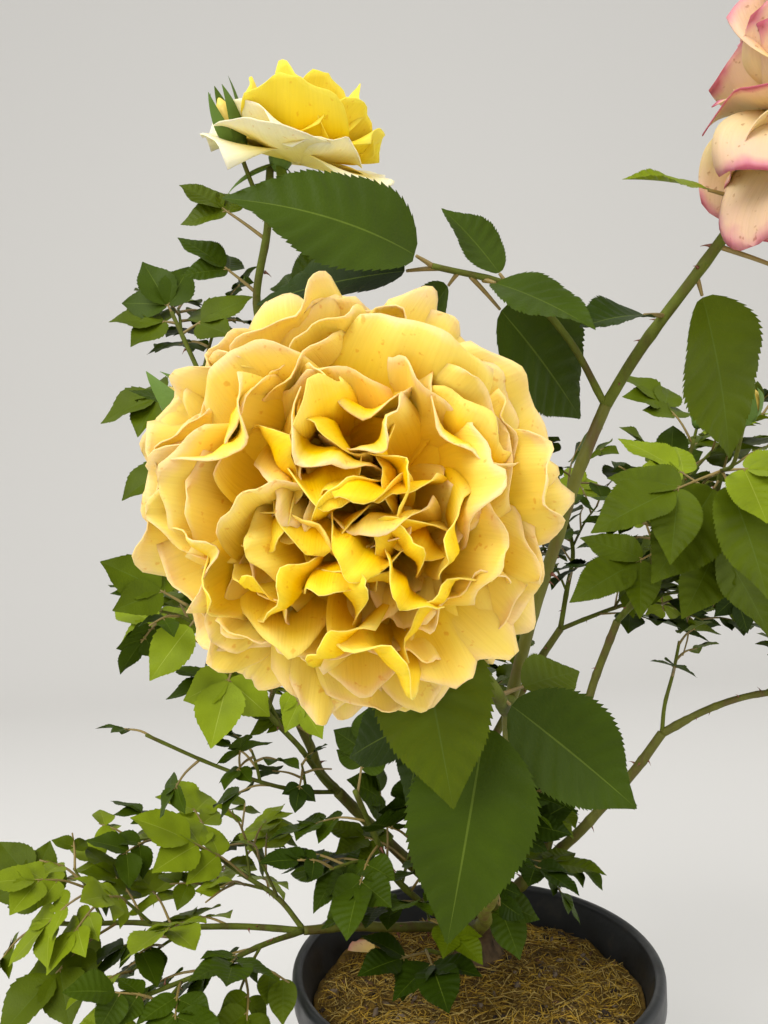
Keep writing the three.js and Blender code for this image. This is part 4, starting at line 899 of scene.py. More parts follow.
def tube(growth, path, radii, sides, slot, relief=None):
    """A closed round limb along a path; relief scales the radius of each point of its rings."""
    path = np.asarray(path, dtype=float)
    radii = np.asarray(radii, dtype=float)
    tangents, rights, ups = frames_along(path)
    angles = 2 * np.pi * np.arange(sides) / sides
    radius = radii[:, None] * (np.ones((1, sides)) if relief is None else relief)
    round_right = np.cos(angles)[None, :, None] * rights[:, None, :]
    round_up = np.sin(angles)[None, :, None] * ups[:, None, :]
    rings = path[:, None, :] + radius[:, :, None] * (round_right + round_up)
    rows = len(path)
    ends = np.stack([path[0], path[-1] + tangents[-1] * radii[-1] * 0.5])
    points = np.vstack([rings.reshape(-1, 3), ends])
    around = np.arange(sides)
    after = (around + 1) % sides
    low = np.stack([after, around, np.full(sides, rows * sides)], axis=1)
    high_start = (rows - 1) * sides
    high = np.stack([high_start + around, high_start + after, np.full(sides, rows * sides + 1)], axis=1)
    growth.grow(points, [grid_faces(rows, sides, ring=True), np.vstack([low, high])], [slot, slot])


def wavering(seed, rows, sides, rough, fine):
    """Seeded unevenness of a limb, smooth along it and round it, as factors of its radius."""
    random = np.random.default_rng(seed)
    along = np.arange(rows)[:, None]
    angle = 2 * np.pi * np.arange(sides)[None, :] / sides
    total = np.zeros((rows, sides))
    for _ in range(5):
        waves = random.integers(1, 4)
        pitch = random.uniform(0.15, 0.9)
        total += np.sin(waves * angle + pitch * along + random.uniform(0, 6.28))
    return 1 + rough * total / 5 + fine * random.uniform(-1, 1, (rows, sides))


# Leaflets: serrated blades with a pale midrib, folded and curled as the rule says. The columns
# are shares of the way from midrib to rim, and the quilting rises between the side veins.
LEAFLET_COLUMNS = [-1, -0.56, -0.018, 0.018, 0.56, 1]
QUILT_COLUMNS = [0.6, 1, 0, 0, 1, 0.6]
TOOTH_LEAN = 0.8
TOOTH_FOOT = 0.972
TOOTH_TIP = 1.035
RIM_FORWARD = 0.15
TIP_DRAW = 0.34
RIPPLE = 0.055
QUILT = 0.014
TEETH_PER_VEIN = 4


def leaflet_template(rows):
    """Shares along and across, heights and faces of a blade with the given number of teeth a side."""
    along = np.linspace(0.012, 0.978, rows + 1)
    factor = np.array(LEAFLET_COLUMNS)
    share = along[:, None] + RIM_FORWARD * np.abs(factor)[None, :] * np.sin(np.pi * along)[:, None]
    share = np.minimum(share, 0.985)
    across_share = np.broadcast_to(factor[None, :], share.shape)
    veins = np.sin(2 * np.pi * np.arange(rows + 1) / min(TEETH_PER_VEIN, rows / 3))
    quilt = veins[:, None] * np.sin(np.pi * along)[:, None]
    quilt = quilt * np.array(QUILT_COLUMNS)[None, :]
    shares = list(share.ravel())
    factors = list(across_share.ravel() * np.where(np.abs(across_share.ravel()) == 1, TOOTH_FOOT, 1))
    quilts = list(quilt.ravel())
    columns = len(factor)
    teeth = []
    for i in range(rows):
        for column in (0, columns - 1):
            here = share[i, column]
            after = share[i + 1, column]
            shares.append(here + (after - here) * TOOTH_LEAN + 0.012)
            factors.append(factor[column] * TOOTH_TIP)
            quilts.append(0)
            low = i * columns + column
            high = (i + 1) * columns + column
            tooth = len(shares) - 1
            teeth.append([low, tooth, high] if column else [low, high, tooth])
    shares.append(1.0)
    factors.append(0.0)
    quilts.append(0)
    tip = len(shares) - 1
    last = rows * columns
    tips = [[last + j, last + j + 1, tip] for j in range(columns - 1)]
    quads = grid_faces(rows + 1, columns)
    rib = np.arange(len(quads)) % (columns - 1) == 2
    return {
        "share": np.array(shares), "factor": np.array(factors), "quilt": np.array(quilts),
        "quads": quads, "rib": rib, "teeth": np.array(teeth + tips),
    }


def blade(growth, template, leaflet, fullness, wave, slot, rib_slot):
    """Grows one leaflet from the template: toothed, drawn out to its tip and rippled at the rim."""
    share = template["share"]
    drawn_out = 1 - TIP_DRAW * np.clip((share - 0.7) / 0.3, 0, 1)
    half = np.maximum(half_breadth(share) * drawn_out, 0.02) * leaflet["breadth"] * fullness
    offset = template["factor"] * half
    length = leaflet["length"]
    ripple = RIPPLE * length * np.sin(6.5 * share + wave) * template["factor"] ** 2 * np.sin(np.pi * share)
    height = QUILT * length * template["quilt"] + ripple
    points = leaflet_points(leaflet, share, offset, height)
    slots = np.where(template["rib"], rib_slot, slot)
    places = np.stack([0.5 + 0.46 * template["factor"], np.minimum(share, 1)], axis=1)
    growth.grow(points, [template["quads"], template["teeth"]], [slots, slot], places)


# Petals: broad sheets that bulge out of the heart, frilled and rolled back at the rim
def bloom_frame(bloom):
    axis = unit(bloom["aim"])
    right = unit(cross(axis, (0.1, 0.2, 1)))
    return axis, right, cross(axis, right)


def leaning(frame, sideways, upward):
    """The frame of a bloom tipped a little for one petal."""
    axis, right, up = (np.array(direction) for direction in frame)
    tipped = axis + sideways * right + upward * up
    tipped /= np.linalg.norm(tipped)
    right = right - tipped * np.dot(right, tipped)
    right /= np.linalg.norm(right)
    return tipped, right, np.cross(tipped, right)


def petal_line(shape, parts=60):
    """The middle line of a petal, as distances out from the axis and up along it, with its slope."""
    reach = shape["reach"]
    rise = shape["rise"]
    t = np.linspace(0, 1, parts)
    slope_out = 2 * (1 - 2 * t) * reach * PETAL_OUT + 2 * t * reach
    slope_rise = 2 * (1 - 2 * t) * rise * PETAL_UP + 2 * t * rise
    speed = np.hypot(slope_out, slope_rise)
    bent = np.clip((t - shape["roll_from"]) / (1 - shape["roll_from"]), 0, 1)
    angle = np.arctan2(slope_out, slope_rise) + shape["roll"] * bent**1.6
    step = 1 / (parts - 1)
    out = np.concatenate([[0], np.cumsum((speed * np.sin(angle))[:-1]) * step])
    up = np.concatenate([[0], np.cumsum((speed * np.cos(angle))[:-1]) * step])
    return t, out, up, angle


def petal(growth, frame, base, shape, rows, columns, slot):
    """Grows one petal: its outline first, then its middle line, and last how it cups, waves and twists."""
    axis, right, up = leaning(frame, *shape["lean"])
    t = np.linspace(0.02, 1, rows)[:, None]
    s = np.linspace(-1, 1, columns)[None, :]
    rounding = (0.18 + 0.2 * shape["sharp"]) * np.abs(s) ** (2.3 - shape["sharp"])
    rim = 1 - rounding + shape["point"] * np.exp(-((s / 0.13) ** 2)) * t**6
    rim = rim + shape["notch"] * np.sin(6.5 * s + shape["phase"]) * t**4
    share = np.clip(t * rim, 0, 1)
    line, line_out, line_up, line_angle = petal_line(shape)
    out = np.interp(share, line, line_out)
    rise = np.interp(share, line, line_up)
    angle = np.interp(share, line, line_angle)
    widen = 0.16 + 0.84 * np.sin(np.pi / 2 * np.minimum(t / PETAL_WIDEST, 1)) ** 0.9
    widen = widen * (1 - 0.12 * np.clip((t - PETAL_WIDEST) / (1 - PETAL_WIDEST), 0, 1) ** 2)
    half = shape["width"] / 2 * widen
    outward = right * math.cos(shape["turn"]) + up * math.sin(shape["turn"])
    sideways = np.cross(axis, outward)
    inward = axis * np.sin(angle)[..., None] - outward * np.cos(angle)[..., None]
    cup = shape["cup"] * s * s * half * (1 - 0.6 * t)
    edge = -shape["edge"] * half * np.abs(s) ** 4 * t * t
    phase = shape["phase"]
    waves = shape["frill"] * t**2.4 * (0.66 * np.sin(4.3 * s + phase) + 0.34 * np.sin(9.5 * s + 2 * phase))
    keel = 0.05 * half * np.exp(-((s / 0.2) ** 2)) * np.sin(np.pi * t)
    crease = shape["fold"] * half * np.abs(s) * t - keel
    lift = cup + edge + waves + crease
    twist = shape["twist"] * t
    aside = s * half * np.cos(twist) - lift * np.sin(twist)
    over = s * half * np.sin(twist) + lift * np.cos(twist)
    points = base + outward * out[..., None] + axis * rise[..., None] + sideways * aside[..., None]
    points = points + inward * over[..., None]
    places = np.stack(np.broadcast_arrays(0.5 + 0.5 * s, t + 0 * s), axis=-1)
    growth.grow(points, [grid_faces(rows, columns)], [slot], places)


def petal_shapes(bloom):
    """Every petal of a bloom: its turn round the axis, its size and how it frills, folds and rolls."""
    random = np.random.default_rng(bloom["seed"])
    wild = bloom["wild"]
    least, most = bloom["roll"]
    stops, reaches, rises, widths = zip(*bloom["line"])
    _, right, up = bloom_frame(bloom)
    right_way = np.array(right)
    up_way = np.array(up)
    shapes = []
    for i in range(bloom["petals"]):
        inner = i / (bloom["petals"] - 1)
        stray = random.uniform(-1, 1, 8)
        turn = math.radians(NODE_TURN * i + (6 + 12 * wild) * stray[0])
        turn += 0.16 * wild * inner * math.sin(5 * turn + 1)
        bundle = i % BUNDLES
        apart = float(np.clip((inner - 0.42) / 0.25, 0, 1)) * (bloom["parting"] > 0)
        if apart > 0.4:
            turn = math.radians(NODE_TURN * (i // BUNDLES) + 73 * bundle + 18 * stray[0])
        toward = 2 * math.pi * bundle / (BUNDLES - 1) + 0.5
        distance = bloom["parting"] * apart * (bundle < BUNDLES - 1)
        parting = distance * (right_way * math.cos(toward) + up_way * math.sin(toward))
        height = math.cos(turn) * right[2] + math.sin(turn) * up[2]
        hooded = random.random() < wild * min(1, 6 * inner) * (0.26 + 0.3 * bloom["droop"] * max(0, height))
        hooded = hooded or (apart > 0.4 and inner > CLOSED_FROM)
        roll = -random.uniform(30, 80) if hooded else random.uniform(least, most) * (1 - 0.4 * inner)
        opened = bloom["droop"] * max(0, -height - 0.1) * math.sin(math.pi * min(1, 1.15 * inner))
        reach = np.interp(inner, stops, reaches) * (1 + 0.12 * opened) + 4 * opened * stray[7]
        rise = np.interp(inner, stops, rises) * (1 - 0.22 * opened)
        roll *= 1 - 0.6 * opened
        shapes.append({
            "turn": turn,
            "reach": reach * (1 - 0.4 * apart) * (1 + 0.03 * stray[1]) + 4 * wild * inner * stray[2],
            "rise": rise + (2 + 4 * wild) * stray[3],
            "width": np.interp(inner, stops, widths) * random.uniform(0.8, 1.25) * (1 - 0.3 * opened),
            "frill": bloom["frill"] * random.uniform(0.4, 1.3) * (1 - 0.3 * inner) * (1 - 0.25 * opened),
            "phase": random.uniform(0, 6.28),
            "point": random.uniform(0.0, 0.1),
            "sharp": min(1, random.uniform(0, 1) ** 1.5 * (1 - 0.5 * max(0, height)) + 0.6 * opened),
            "notch": random.uniform(0.0, 0.035),
            "cup": random.uniform(0.05, 0.4) * (1 - 0.5 * opened) if wild > 0.7 else 0.34,
            "fold": 0.36 * wild * stray[4],
            "twist": 0.6 * wild * stray[5],
            "lean": (0.36 * wild * inner * stray[6], 0.36 * wild * inner * stray[7]),
            "roll": math.radians(roll),
            "roll_from": random.uniform(0.5, 0.8),
            "edge": random.uniform(0.1, 0.5),
            "sink": np.array(bloom["sink"]) * inner**1.4 + parting,
            "inner": inner,
        })
    return shapes


# Narrow green parts of blooms and buds
def pointed_strip(growth, base, ahead, facing, length, width, bend, slot):
    """A long pointed strip, such as a sepal, bent by an angle in radians toward the way it faces."""
    t = np.linspace(0, 1, 9)[:, None]
    s = np.array([-1, 0, 1])[None, :]
    ahead = np.array(unit(ahead))
    facing = np.array(across(facing, tuple(ahead)))
    side = np.cross(facing, ahead)
    forward = length * (np.sin(bend * t) / bend)
    lift = length * ((1 - np.cos(bend * t)) / bend)
    half = width / 2 * (np.sin(np.pi * np.minimum(0.22 + 0.78 * t, 1)) ** 0.8 * (1 - 0.55 * t) + 0.03)
    cupped = lift + 0.25 * half * s * s
    points = np.array(base) + ahead * forward[..., None] + facing * cupped[..., None]
    points = points + side * (s * half)[..., None]
    growth.grow(points, [grid_faces(9, 3)], [slot])


def turned(growth, base, axis, profile, sides, slot, swell=None):
    """A solid of revolution from (distance along the axis, radius) pairs, closed at both ends."""
    heights = np.array([height for height, _ in profile])
    radii = np.array([radius for _, radius in profile])
    path = np.array(base) + np.outer(heights, np.array(unit(axis)))
    tube(growth, path, radii, sides, slot, swell)


def calyx_profile(radius, height):
    shares = [(0, 0.35), (0.25, 0.75), (0.6, 1), (1, 0.9)]
    return [(share * height, factor * radius) for share, factor in shares]


def bud_profile(radius, length):
    shares = [(0, 0.25), (0.12, 0.66), (0.3, 0.95), (0.5, 1), (0.7, 0.8), (0.88, 0.42), (1, 0.12)]
    return [(share * length, factor * radius) for share, factor in shares]


# Settings shown in the sidebar
def length_setting(name, description, default_mm):
    return bpy.props.FloatProperty(
        name=name, description=description, default=default_mm * MM, min=0.0, unit="LENGTH", precision=4
    )


def in_mm(length):
    """A length from the sidebar in millimetres, without the rounding of its stored number."""
    return round(length / MM, 4)


def share_setting(name, description, default):
    return bpy.props.FloatProperty(
        name=name, description=description, default=default, min=0.0, max=1.0, subtype="FACTOR"
    )


def count_setting(name, description, default):
    return bpy.props.IntProperty(
        name=name, description=description, default=default, min=0, subtype="UNSIGNED"
    )


def colour_setting(name, description, red, green, blue):
    return bpy.props.FloatVectorProperty(
        name=name, description=description, default=tone(red, green, blue),
        size=3, min=0.0, max=1.0, subtype="COLOR",
    )


class RosePotSettings(bpy.types.PropertyGroup):
    """The nursery pot and what fills it."""

    height: length_setting("Pot height", "Height of the pot over its flat underside", POT_HEIGHT)
    mouth: length_setting("Mouth radius", "Radius of the pot over its rolled lip", POT_MOUTH_RADIUS)
    base: length_setting("Base radius", "Radius of the pot at its foot", POT_BASE_RADIUS)
    wall: length_setting("Wall", "Thickness of the wall", POT_WALL)
    soil_top: length_setting("Soil level", "Height of the soil over the pot's underside", SOIL_TOP)
    fibres: count_setting("Fibres", "How many coir fibres lie on the soil", 3200)
    chips: count_setting("Chips", "How many bits of bark lie on the soil", 420)
    plastic: colour_setting("Plastic", "Colour of the pot", 30, 32, 33)
    earth: colour_setting("Soil", "Colour of the soil under the fibres", 118, 90, 24)


class RoseWoodSettings(bpy.types.PropertyGroup):
    """The graft union, the canes and the stems."""

    bark_relief: share_setting("Bark relief", "How far the bark stands in and out of the radius", 0.12)
    thorns: count_setting("Thorns", "How many places on the canes are tried for a thorn", 220)
    thorn_length: length_setting("Thorn length", "Length of the largest thorns", 5.5)
    old_bark: colour_setting("Old bark", "Colour of the graft union", 92, 74, 50)
    cane: colour_setting("Cane", "Colour of the canes", 92, 92, 32)
    stem: colour_setting("Stem", "Colour of the shoots", 86, 94, 26)
    petiole: colour_setting("Leaf stalk", "Colour of the leaf stalks", 132, 112, 56)
    thorn: colour_setting("Thorn", "Colour of the thorns", 120, 70, 48)


class RoseLeafSettings(bpy.types.PropertyGroup):
    """The leaves."""

    near_teeth: count_setting("Near teeth", "Teeth on a side of the leaflets at the front", 34)
    far_teeth: count_setting("Far teeth", "Teeth on a side of the other leaflets", 12)
    dark: colour_setting("Dark", "Colour of the darkest leaves", 38, 54, 2)
    green: colour_setting("Green", "Colour of most leaves", 55, 72, 3)
    # Painted light: the olive leaf colour is a lighter, yellower copy of the green, for leaves that stand in
    # full light
    olive: colour_setting("Olive", "Colour of the leaves in full light", 76, 90, 3)
    fresh: colour_setting("Fresh", "Colour of young leaves", 120, 136, 20)
    rib: colour_setting("Midrib", "Colour of the midribs", 82, 98, 26)
    bright_rib: colour_setting("Young midrib", "Colour of the midribs of young leaves", 142, 154, 52)


class RoseBloomSettings(bpy.types.PropertyGroup):
    """The blooms and buds."""

    petal_thickness: length_setting("Petal thickness", "Thickness of a petal", 0.34)
    heart: colour_setting("Heart", "Colour in the heart of the yellow bloom", 252, 194, 10)
    yellow: colour_setting("Yellow", "Colour at the foot of the yellow petals", 250, 202, 0)
    cream: colour_setting("Cream", "Colour at the rims of the yellow petals", 250, 220, 108)
    peach: colour_setting("Peach", "Colour at the rims of the guard petals", 248, 212, 146)
    pink: colour_setting("Pink", "Colour at the rims of the pink-edged bloom", 214, 138, 148)
    apricot: colour_setting("Apricot", "Colour at the foot of the pink-edged bloom", 226, 192, 132)
    sepal: colour_setting("Sepal", "Colour of the sepals", 96, 122, 52)


class RoseStageSettings(bpy.types.PropertyGroup):
    """The floor, the light and the camera."""

    floor: colour_setting("Floor", "Colour of the floor and the backdrop", 226, 224, 220)
    lens: bpy.props.FloatProperty(
        name="Lens", description="Focal length of the camera in millimetres",
        default=27.07, min=10.0, subtype="DISTANCE_CAMERA",
    )
    light: bpy.props.FloatProperty(
        name="Key light", description="Power of the key light", default=46.0, min=0.0, unit="POWER"
    )


# Finishes
class Finish:
    """A finish that is put together node by node, with a fine uneven surface."""

    def __init__(self, name, roughness, bump=0.0, bump_scale=600.0):
        self.material = bpy.data.materials.new(name)
        self.material.use_nodes = True
        self.nodes = self.material.node_tree.nodes
        self.links = self.material.node_tree.links
        self.shader = self.nodes["Principled BSDF"]
        self.adjust("Roughness", roughness)
        self.place = self.nodes.new("ShaderNodeTexCoord").outputs["Object"]
        if bump > 0:
            self.emboss(self.noise(self.place, bump_scale, 4.0), bump, FINE_BUMP_DEPTH)

    def adjust(self, name, value):
        self.shader.inputs[name].default_value = value

    def paint(self, name, value):
        self.links.new(value, self.shader.inputs[name])

    def noise(self, place, scale, detail):
        node = self.nodes.new("ShaderNodeTexNoise")
        node.inputs["Scale"].default_value = scale
        node.inputs["Detail"].default_value = detail
        self.links.new(place, node.inputs["Vector"])
        return node.outputs["Fac"]

    def stretched(self, place, scale):
        node = self.nodes.new("ShaderNodeMapping")
        node.inputs["Scale"].default_value = scale
        self.links.new(place, node.inputs["Vector"])
        return node.outputs["Vector"]

    def ramp(self, value, stops):
        """The colour that a value picks between colours at their stops."""
        node = self.nodes.new("ShaderNodeValToRGB")
        elements = node.color_ramp.elements
        while len(elements) < len(stops):
            elements.new(0.5)
        for element, (place, colour) in zip(elements, stops):
            element.position = place
            element.color = (*colour, 1.0)
        self.links.new(value, node.inputs["Fac"])
        return node.outputs["Color"]

    def calculated(self, operation, *values):
        """A value worked out from others, each a socket or a number."""
        node = self.nodes.new("ShaderNodeMath")
        node.operation = operation
        for socket, value in zip(node.inputs, values):
            if isinstance(value, (int, float)):
                socket.default_value = value
            else:
                self.links.new(value, socket)
        return node.outputs["Value"]

    def multiplied(self, share, first, second):
        """A colour multiplied by a share of another."""
        node = self.nodes.new("ShaderNodeMix")
        node.data_type = "RGBA"
        node.blend_type = "MULTIPLY"
        node.inputs["Factor"].default_value = share
        self.links.new(first, node.inputs["A"])
        self.links.new(second, node.inputs["B"])
        return node.outputs["Result"]

    def emboss(self, height, strength, depth):
        node = self.nodes.new("ShaderNodeBump")
        node.inputs["Strength"].default_value = strength
        node.inputs["Distance"].default_value = depth
        self.links.new(height, node.inputs["Height"])
        self.paint("Normal", node.outputs["Normal"])


FINE_BUMP_DEPTH = 0.0006
VEIN_DEPTH = 0.0005
PETAL_SCATTER = (1.0, 0.7, 0.15)
BARK_STRETCH = (1.0, 1.0, 1.0 / 3)
VEIN_STRETCH = (46.0, 2.2, 1.0)
WHITE = (1.0, 1.0, 1.0)
VEIN_SHADE = (0.86, 0.82, 0.76)


def scaled(colour, factor):
    return tuple(min(1.0, channel * factor) for channel in colour)


def flecked(name, colour, roughness, spread=0.14, scale=90.0, bump=0.25, bump_scale=700.0):
    """A colour that wavers a little over the surface."""
    finish = Finish(name, roughness, bump, bump_scale)
    stops = [(0.34, scaled(colour, 1 - spread)), (0.66, scaled(colour, 1 + spread))]
    finish.paint("Base Color", finish.ramp(finish.noise(finish.place, scale, 3.0), stops))
    return finish


def leaf_finish(name, colour):
    finish = flecked(name, colour, 0.5, scale=45.0, bump=0.3, bump_scale=900.0)
    finish.adjust("Specular IOR Level", 0.1)
    return finish


def bark_finish(name, colour, dark, roughness=0.72):
    """Bark: pale streaks along the limb over a darker ground."""
    finish = Finish(name, roughness, 0.7, 420.0)
    finish.adjust("Specular IOR Level", 0.2)
    noise = finish.noise(finish.stretched(finish.place, BARK_STRETCH), 150.0, 6.0)
    finish.paint("Base Color", finish.ramp(noise, [(0.3, dark), (0.5, colour), (0.72, scaled(colour, 1.35))]))
    return finish


def petal_finish(name, stops, blotch):
    """Petals: a colour that runs from foot to rim, with fine veins along the petal and faint blotches."""
    finish = Finish(name, 0.52)
    place = finish.nodes.new("ShaderNodeUVMap")
    place.uv_map = "Place"
    parts = finish.nodes.new("ShaderNodeSeparateXYZ")
    finish.links.new(place.outputs["UV"], parts.inputs["Vector"])
    margin = rim_share(finish, parts.outputs["X"], parts.outputs["Y"])
    waver = finish.noise(finish.place, 70.0, 3.0)
    level = finish.calculated("SUBTRACT", finish.calculated("MULTIPLY_ADD", waver, 0.3, margin), 0.15)
    streaks = finish.noise(finish.stretched(place.outputs["UV"], VEIN_STRETCH), 1.0, 3.0)
    shade = finish.ramp(streaks, [(0.3, VEIN_SHADE), (0.62, WHITE)])
    veined = finish.multiplied(0.28, finish.ramp(level, stops), shade)
    spot = finish.ramp(finish.noise(finish.place, 420.0, 2.0), [(0.27, blotch), (0.34, WHITE)])
    finish.paint("Base Color", finish.multiplied(0.5, veined, spot))
    finish.emboss(streaks, 0.35, VEIN_DEPTH)
    finish.adjust("Subsurface Weight", 0.2)
    finish.adjust("Subsurface Radius", PETAL_SCATTER)
    finish.adjust("Subsurface Scale", 0.003)
    finish.adjust("Specular IOR Level", 0.1)
    return finish


def rim_share(finish, across_share, along_share):
    """How near a place on a petal is to its rim: at the lip, or at the sides over the claw."""
    aside = finish.calculated("MULTIPLY", finish.calculated("SUBTRACT", across_share, 0.5), 2.0)
    steep = finish.calculated("POWER", finish.calculated("ABSOLUTE", aside), 7.0)
    side = finish.calculated("MULTIPLY", steep, finish.calculated("MINIMUM", along_share, 0.95))
    return finish.calculated("MAXIMUM", along_share, side)


# Editing by hand
SMOOTH_BELOW = math.radians(40)


def deselect_all():
    if bpy.context.object and bpy.context.object.mode != "OBJECT":
        bpy.ops.object.mode_set(mode="OBJECT")
    bpy.ops.object.select_all(action="DESELECT")


def make_active(thing):
    deselect_all()
    thing.select_set(True)
    bpy.context.view_layer.objects.active = thing


def apply_modifier(thing, kind, name, **values):
    make_active(thing)
    modifier = thing.modifiers.new(name, kind)
    for key, value in values.items():
        setattr(modifier, key, value)
    bpy.ops.object.modifier_apply(modifier=name)


def spun_profile(name, profile, steps):
    """Turns a profile of (radius, height) points in metres round the z axis into one mesh."""
    deselect_all()
    bpy.ops.mesh.primitive_plane_add(size=0.01)
    thing = bpy.context.object
    thing.name = name
    bpy.ops.object.mode_set(mode="EDIT")
    bpy.ops.mesh.select_all(action="SELECT")
    bpy.ops.mesh.merge(type="CENTER")
    bpy.ops.transform.translate(value=(profile[0][0], 0.0, profile[0][1]))
    for (radius, height), (next_radius, next_height) in zip(profile, profile[1:]):
        step = (next_radius - radius, 0.0, next_height - height)
        bpy.ops.mesh.extrude_region_move(TRANSFORM_OT_translate={"value": step})
    bpy.ops.mesh.select_all(action="SELECT")
    bpy.ops.mesh.spin(steps=steps, angle=2 * math.pi, center=(0.0, 0.0, 0.0), axis=(0.0, 0.0, 1.0))
    bpy.ops.mesh.select_all(action="SELECT")
    bpy.ops.mesh.remove_doubles(threshold=0.00002)
    bpy.ops.mesh.normals_make_consistent(inside=False)
    bpy.ops.object.mode_set(mode="OBJECT")
    return thing


def inner_radius(settings, height):
    """Radius of the inner wall of the pot at a height."""
    base = in_mm(settings.base)
    widening = in_mm(settings.mouth) - POT_LIP_WIDTH - base
    return base - in_mm(settings.wall) + widening * height / in_mm(settings.height)


def arc(centre_radius, centre_height, radius, start, end, parts):
    """Points of (radius, height) round a small arc, angles in degrees."""
    points = []
    for i in range(parts + 1):
        angle = math.radians(start + (end - start) * i / parts)
        points.append((centre_radius + radius * math.cos(angle), centre_height + radius * math.sin(angle)))
    return points


def build_pot(settings):
    """The pot: one wall with a rolled lip, and a floor with drain holes."""
    top = in_mm(settings.height)
    base = in_mm(settings.base)
    mouth = in_mm(settings.mouth)
    lip_start = top - POT_LIP_DEPTH
    inner = inner_radius(settings, lip_start)
    outer = inner + in_mm(settings.wall)
    profile = [(0, POT_HOLLOW), (POT_HOLLOW_RADIUS - 2, POT_HOLLOW), (POT_HOLLOW_RADIUS, 0), (base - 3, 0)]
    profile += arc(base - POT_FOOT_ROUND, POT_FOOT_ROUND, POT_FOOT_ROUND, -90, -8, 4)
    profile += [(outer, lip_start - 3), (outer + 0.4, lip_start - 1.2), (mouth - 2.2, lip_start)]
    profile += arc(mouth - 2.0, lip_start + 2, 1.6, -80, 0, 3)
    profile += arc(mouth - POT_LIP_ROLL, top - POT_LIP_ROLL, POT_LIP_ROLL, 0, 180, 10)
    profile += [(mouth - POT_LIP_WIDTH, top - POT_LIP_ROLL - 1.2), (inner, lip_start - 1)]
    profile += [(inner_radius(settings, POT_FLOOR + 3), POT_FLOOR + 3)]
    profile += [(inner_radius(settings, POT_FLOOR) - 3, POT_FLOOR), (0, POT_FLOOR + 1.4)]
    pot = spun_profile("rose_pot", [(radius * MM, height * MM) for radius, height in profile], POT_SIDES)
    for i in range(POT_HOLES):
        turn = 2 * math.pi * (i + 0.5) / POT_HOLES
        place = (POT_HOLE_RING * MM * math.cos(turn), POT_HOLE_RING * MM * math.sin(turn), 0.0)
        deselect_all()
        bpy.ops.mesh.primitive_cylinder_add(
            vertices=24, radius=POT_HOLE_RADIUS * MM, depth=4 * POT_FLOOR * MM, location=place
        )
        drill = bpy.context.object
        apply_modifier(pot, "BOOLEAN", "Drain hole", object=drill, operation="DIFFERENCE", solver="EXACT")
        bpy.data.objects.remove(drill)
    make_active(pot)
    bpy.ops.object.shade_smooth_by_angle(angle=SMOOTH_BELOW)
    pot.data.materials.append(plastic_finish(settings).material)
    return pot


def plastic_finish(settings):
    """Black plastic that is dusty and dull in places."""
    finish = Finish("Black plastic", 0.4, 0.22, 260.0)
    dust = finish.noise(finish.place, 34.0, 6.0)
    clean = tuple(settings.plastic)
    stops = [(0.42, clean), (0.6, scaled(clean, 1.25)), (0.8, tone(74, 66, 54))]
    finish.paint("Base Color", finish.ramp(dust, stops))
    finish.paint("Roughness", finish.ramp(dust, [(0.35, (0.34,) * 3), (0.7, (0.62,) * 3)]))
    return finish


def soil_height(settings, x, y):
    """Height of the soil's uneven top: waves away from the plant, clods and fine grain all over."""
    wave = np.sin(x * 0.071 + 1.3) * np.cos(y * 0.083) + 0.6 * np.sin(x * 0.19 - y * 0.15)
    from_plant = np.hypot(x - UNION_X, y - UNION_Y)
    clods = 0.7 * np.sin(x * 0.43 + 2 * np.sin(y * 0.31)) * np.sin(y * 0.51 + 1.7 * np.sin(x * 0.27))
    fine = 0.45 * np.sin(x * 1.3 + 2.1 * np.sin(y * 0.9)) * np.sin(y * 1.17 + 1.3 * np.sin(x * 1.1))
    return in_mm(settings.soil_top) + 2.6 * wave * np.clip((from_plant - 50) / 20, 0, 1) + clods + fine


def build_soil(settings):
    """The soil as one closed cake with an uneven top."""
    rings = 70
    sectors = 220
    top = in_mm(settings.soil_top)
    under = top - 30
    edge = inner_radius(settings, top) - 0.4
    low_edge = inner_radius(settings, under) - 0.4
    radii = np.array([*(edge * np.linspace(0.012, 1, rings)), low_edge, edge * 0.5])
    angle = 2 * np.pi * np.arange(sectors) / sectors
    x = radii[:, None] * np.cos(angle)
    y = radii[:, None] * np.sin(angle)
    z = soil_height(settings, x, y)
    z[rings:] = under
    points = np.stack([x, y, z], axis=-1).reshape(-1, 3)
    ends = np.array([[0, 0, soil_height(settings, 0.0, 0.0)], [0, 0, under]])
    rows = len(radii)
    around = np.arange(sectors)
    after = (around + 1) % sectors
    low = np.stack([around, after, np.full(sectors, rows * sectors)], axis=1)
    last = (rows - 1) * sectors
    high = np.stack([last + after, last + around, np.full(sectors, rows * sectors + 1)], axis=1)
    growth = Growth()
    quads = grid_faces(rows, sectors, ring=True)[:, ::-1]
    growth.grow(np.vstack([points, ends]), [quads, np.vstack([low, high])], [0, 0])
    earth = tuple(settings.earth)
    finish = Finish("Potting soil", 0.95, 1.0, 380.0)
    stops = [(0.28, scaled(earth, 0.3)), (0.45, scaled(earth, 0.8)), (0.6, earth), (0.78, tone(124, 94, 54))]
    finish.paint("Base Color", finish.ramp(finish.noise(finish.place, 210.0, 8.0), stops))
    return growth.made("rose_soil", [finish])


def on_soil(settings, random):
    """A seeded place on the soil clear of the graft union."""
    reach = inner_radius(settings, in_mm(settings.soil_top)) - 5
    while True:
        radius = reach * math.sqrt(random.random())
        turn = random.uniform(0, 2 * math.pi)
        x = radius * math.cos(turn)
        y = radius * math.sin(turn)
        if math.hypot(x - UNION_X, y - UNION_Y) > CLEAR_OF_UNION:
            return x, y, float(soil_height(settings, x, y))


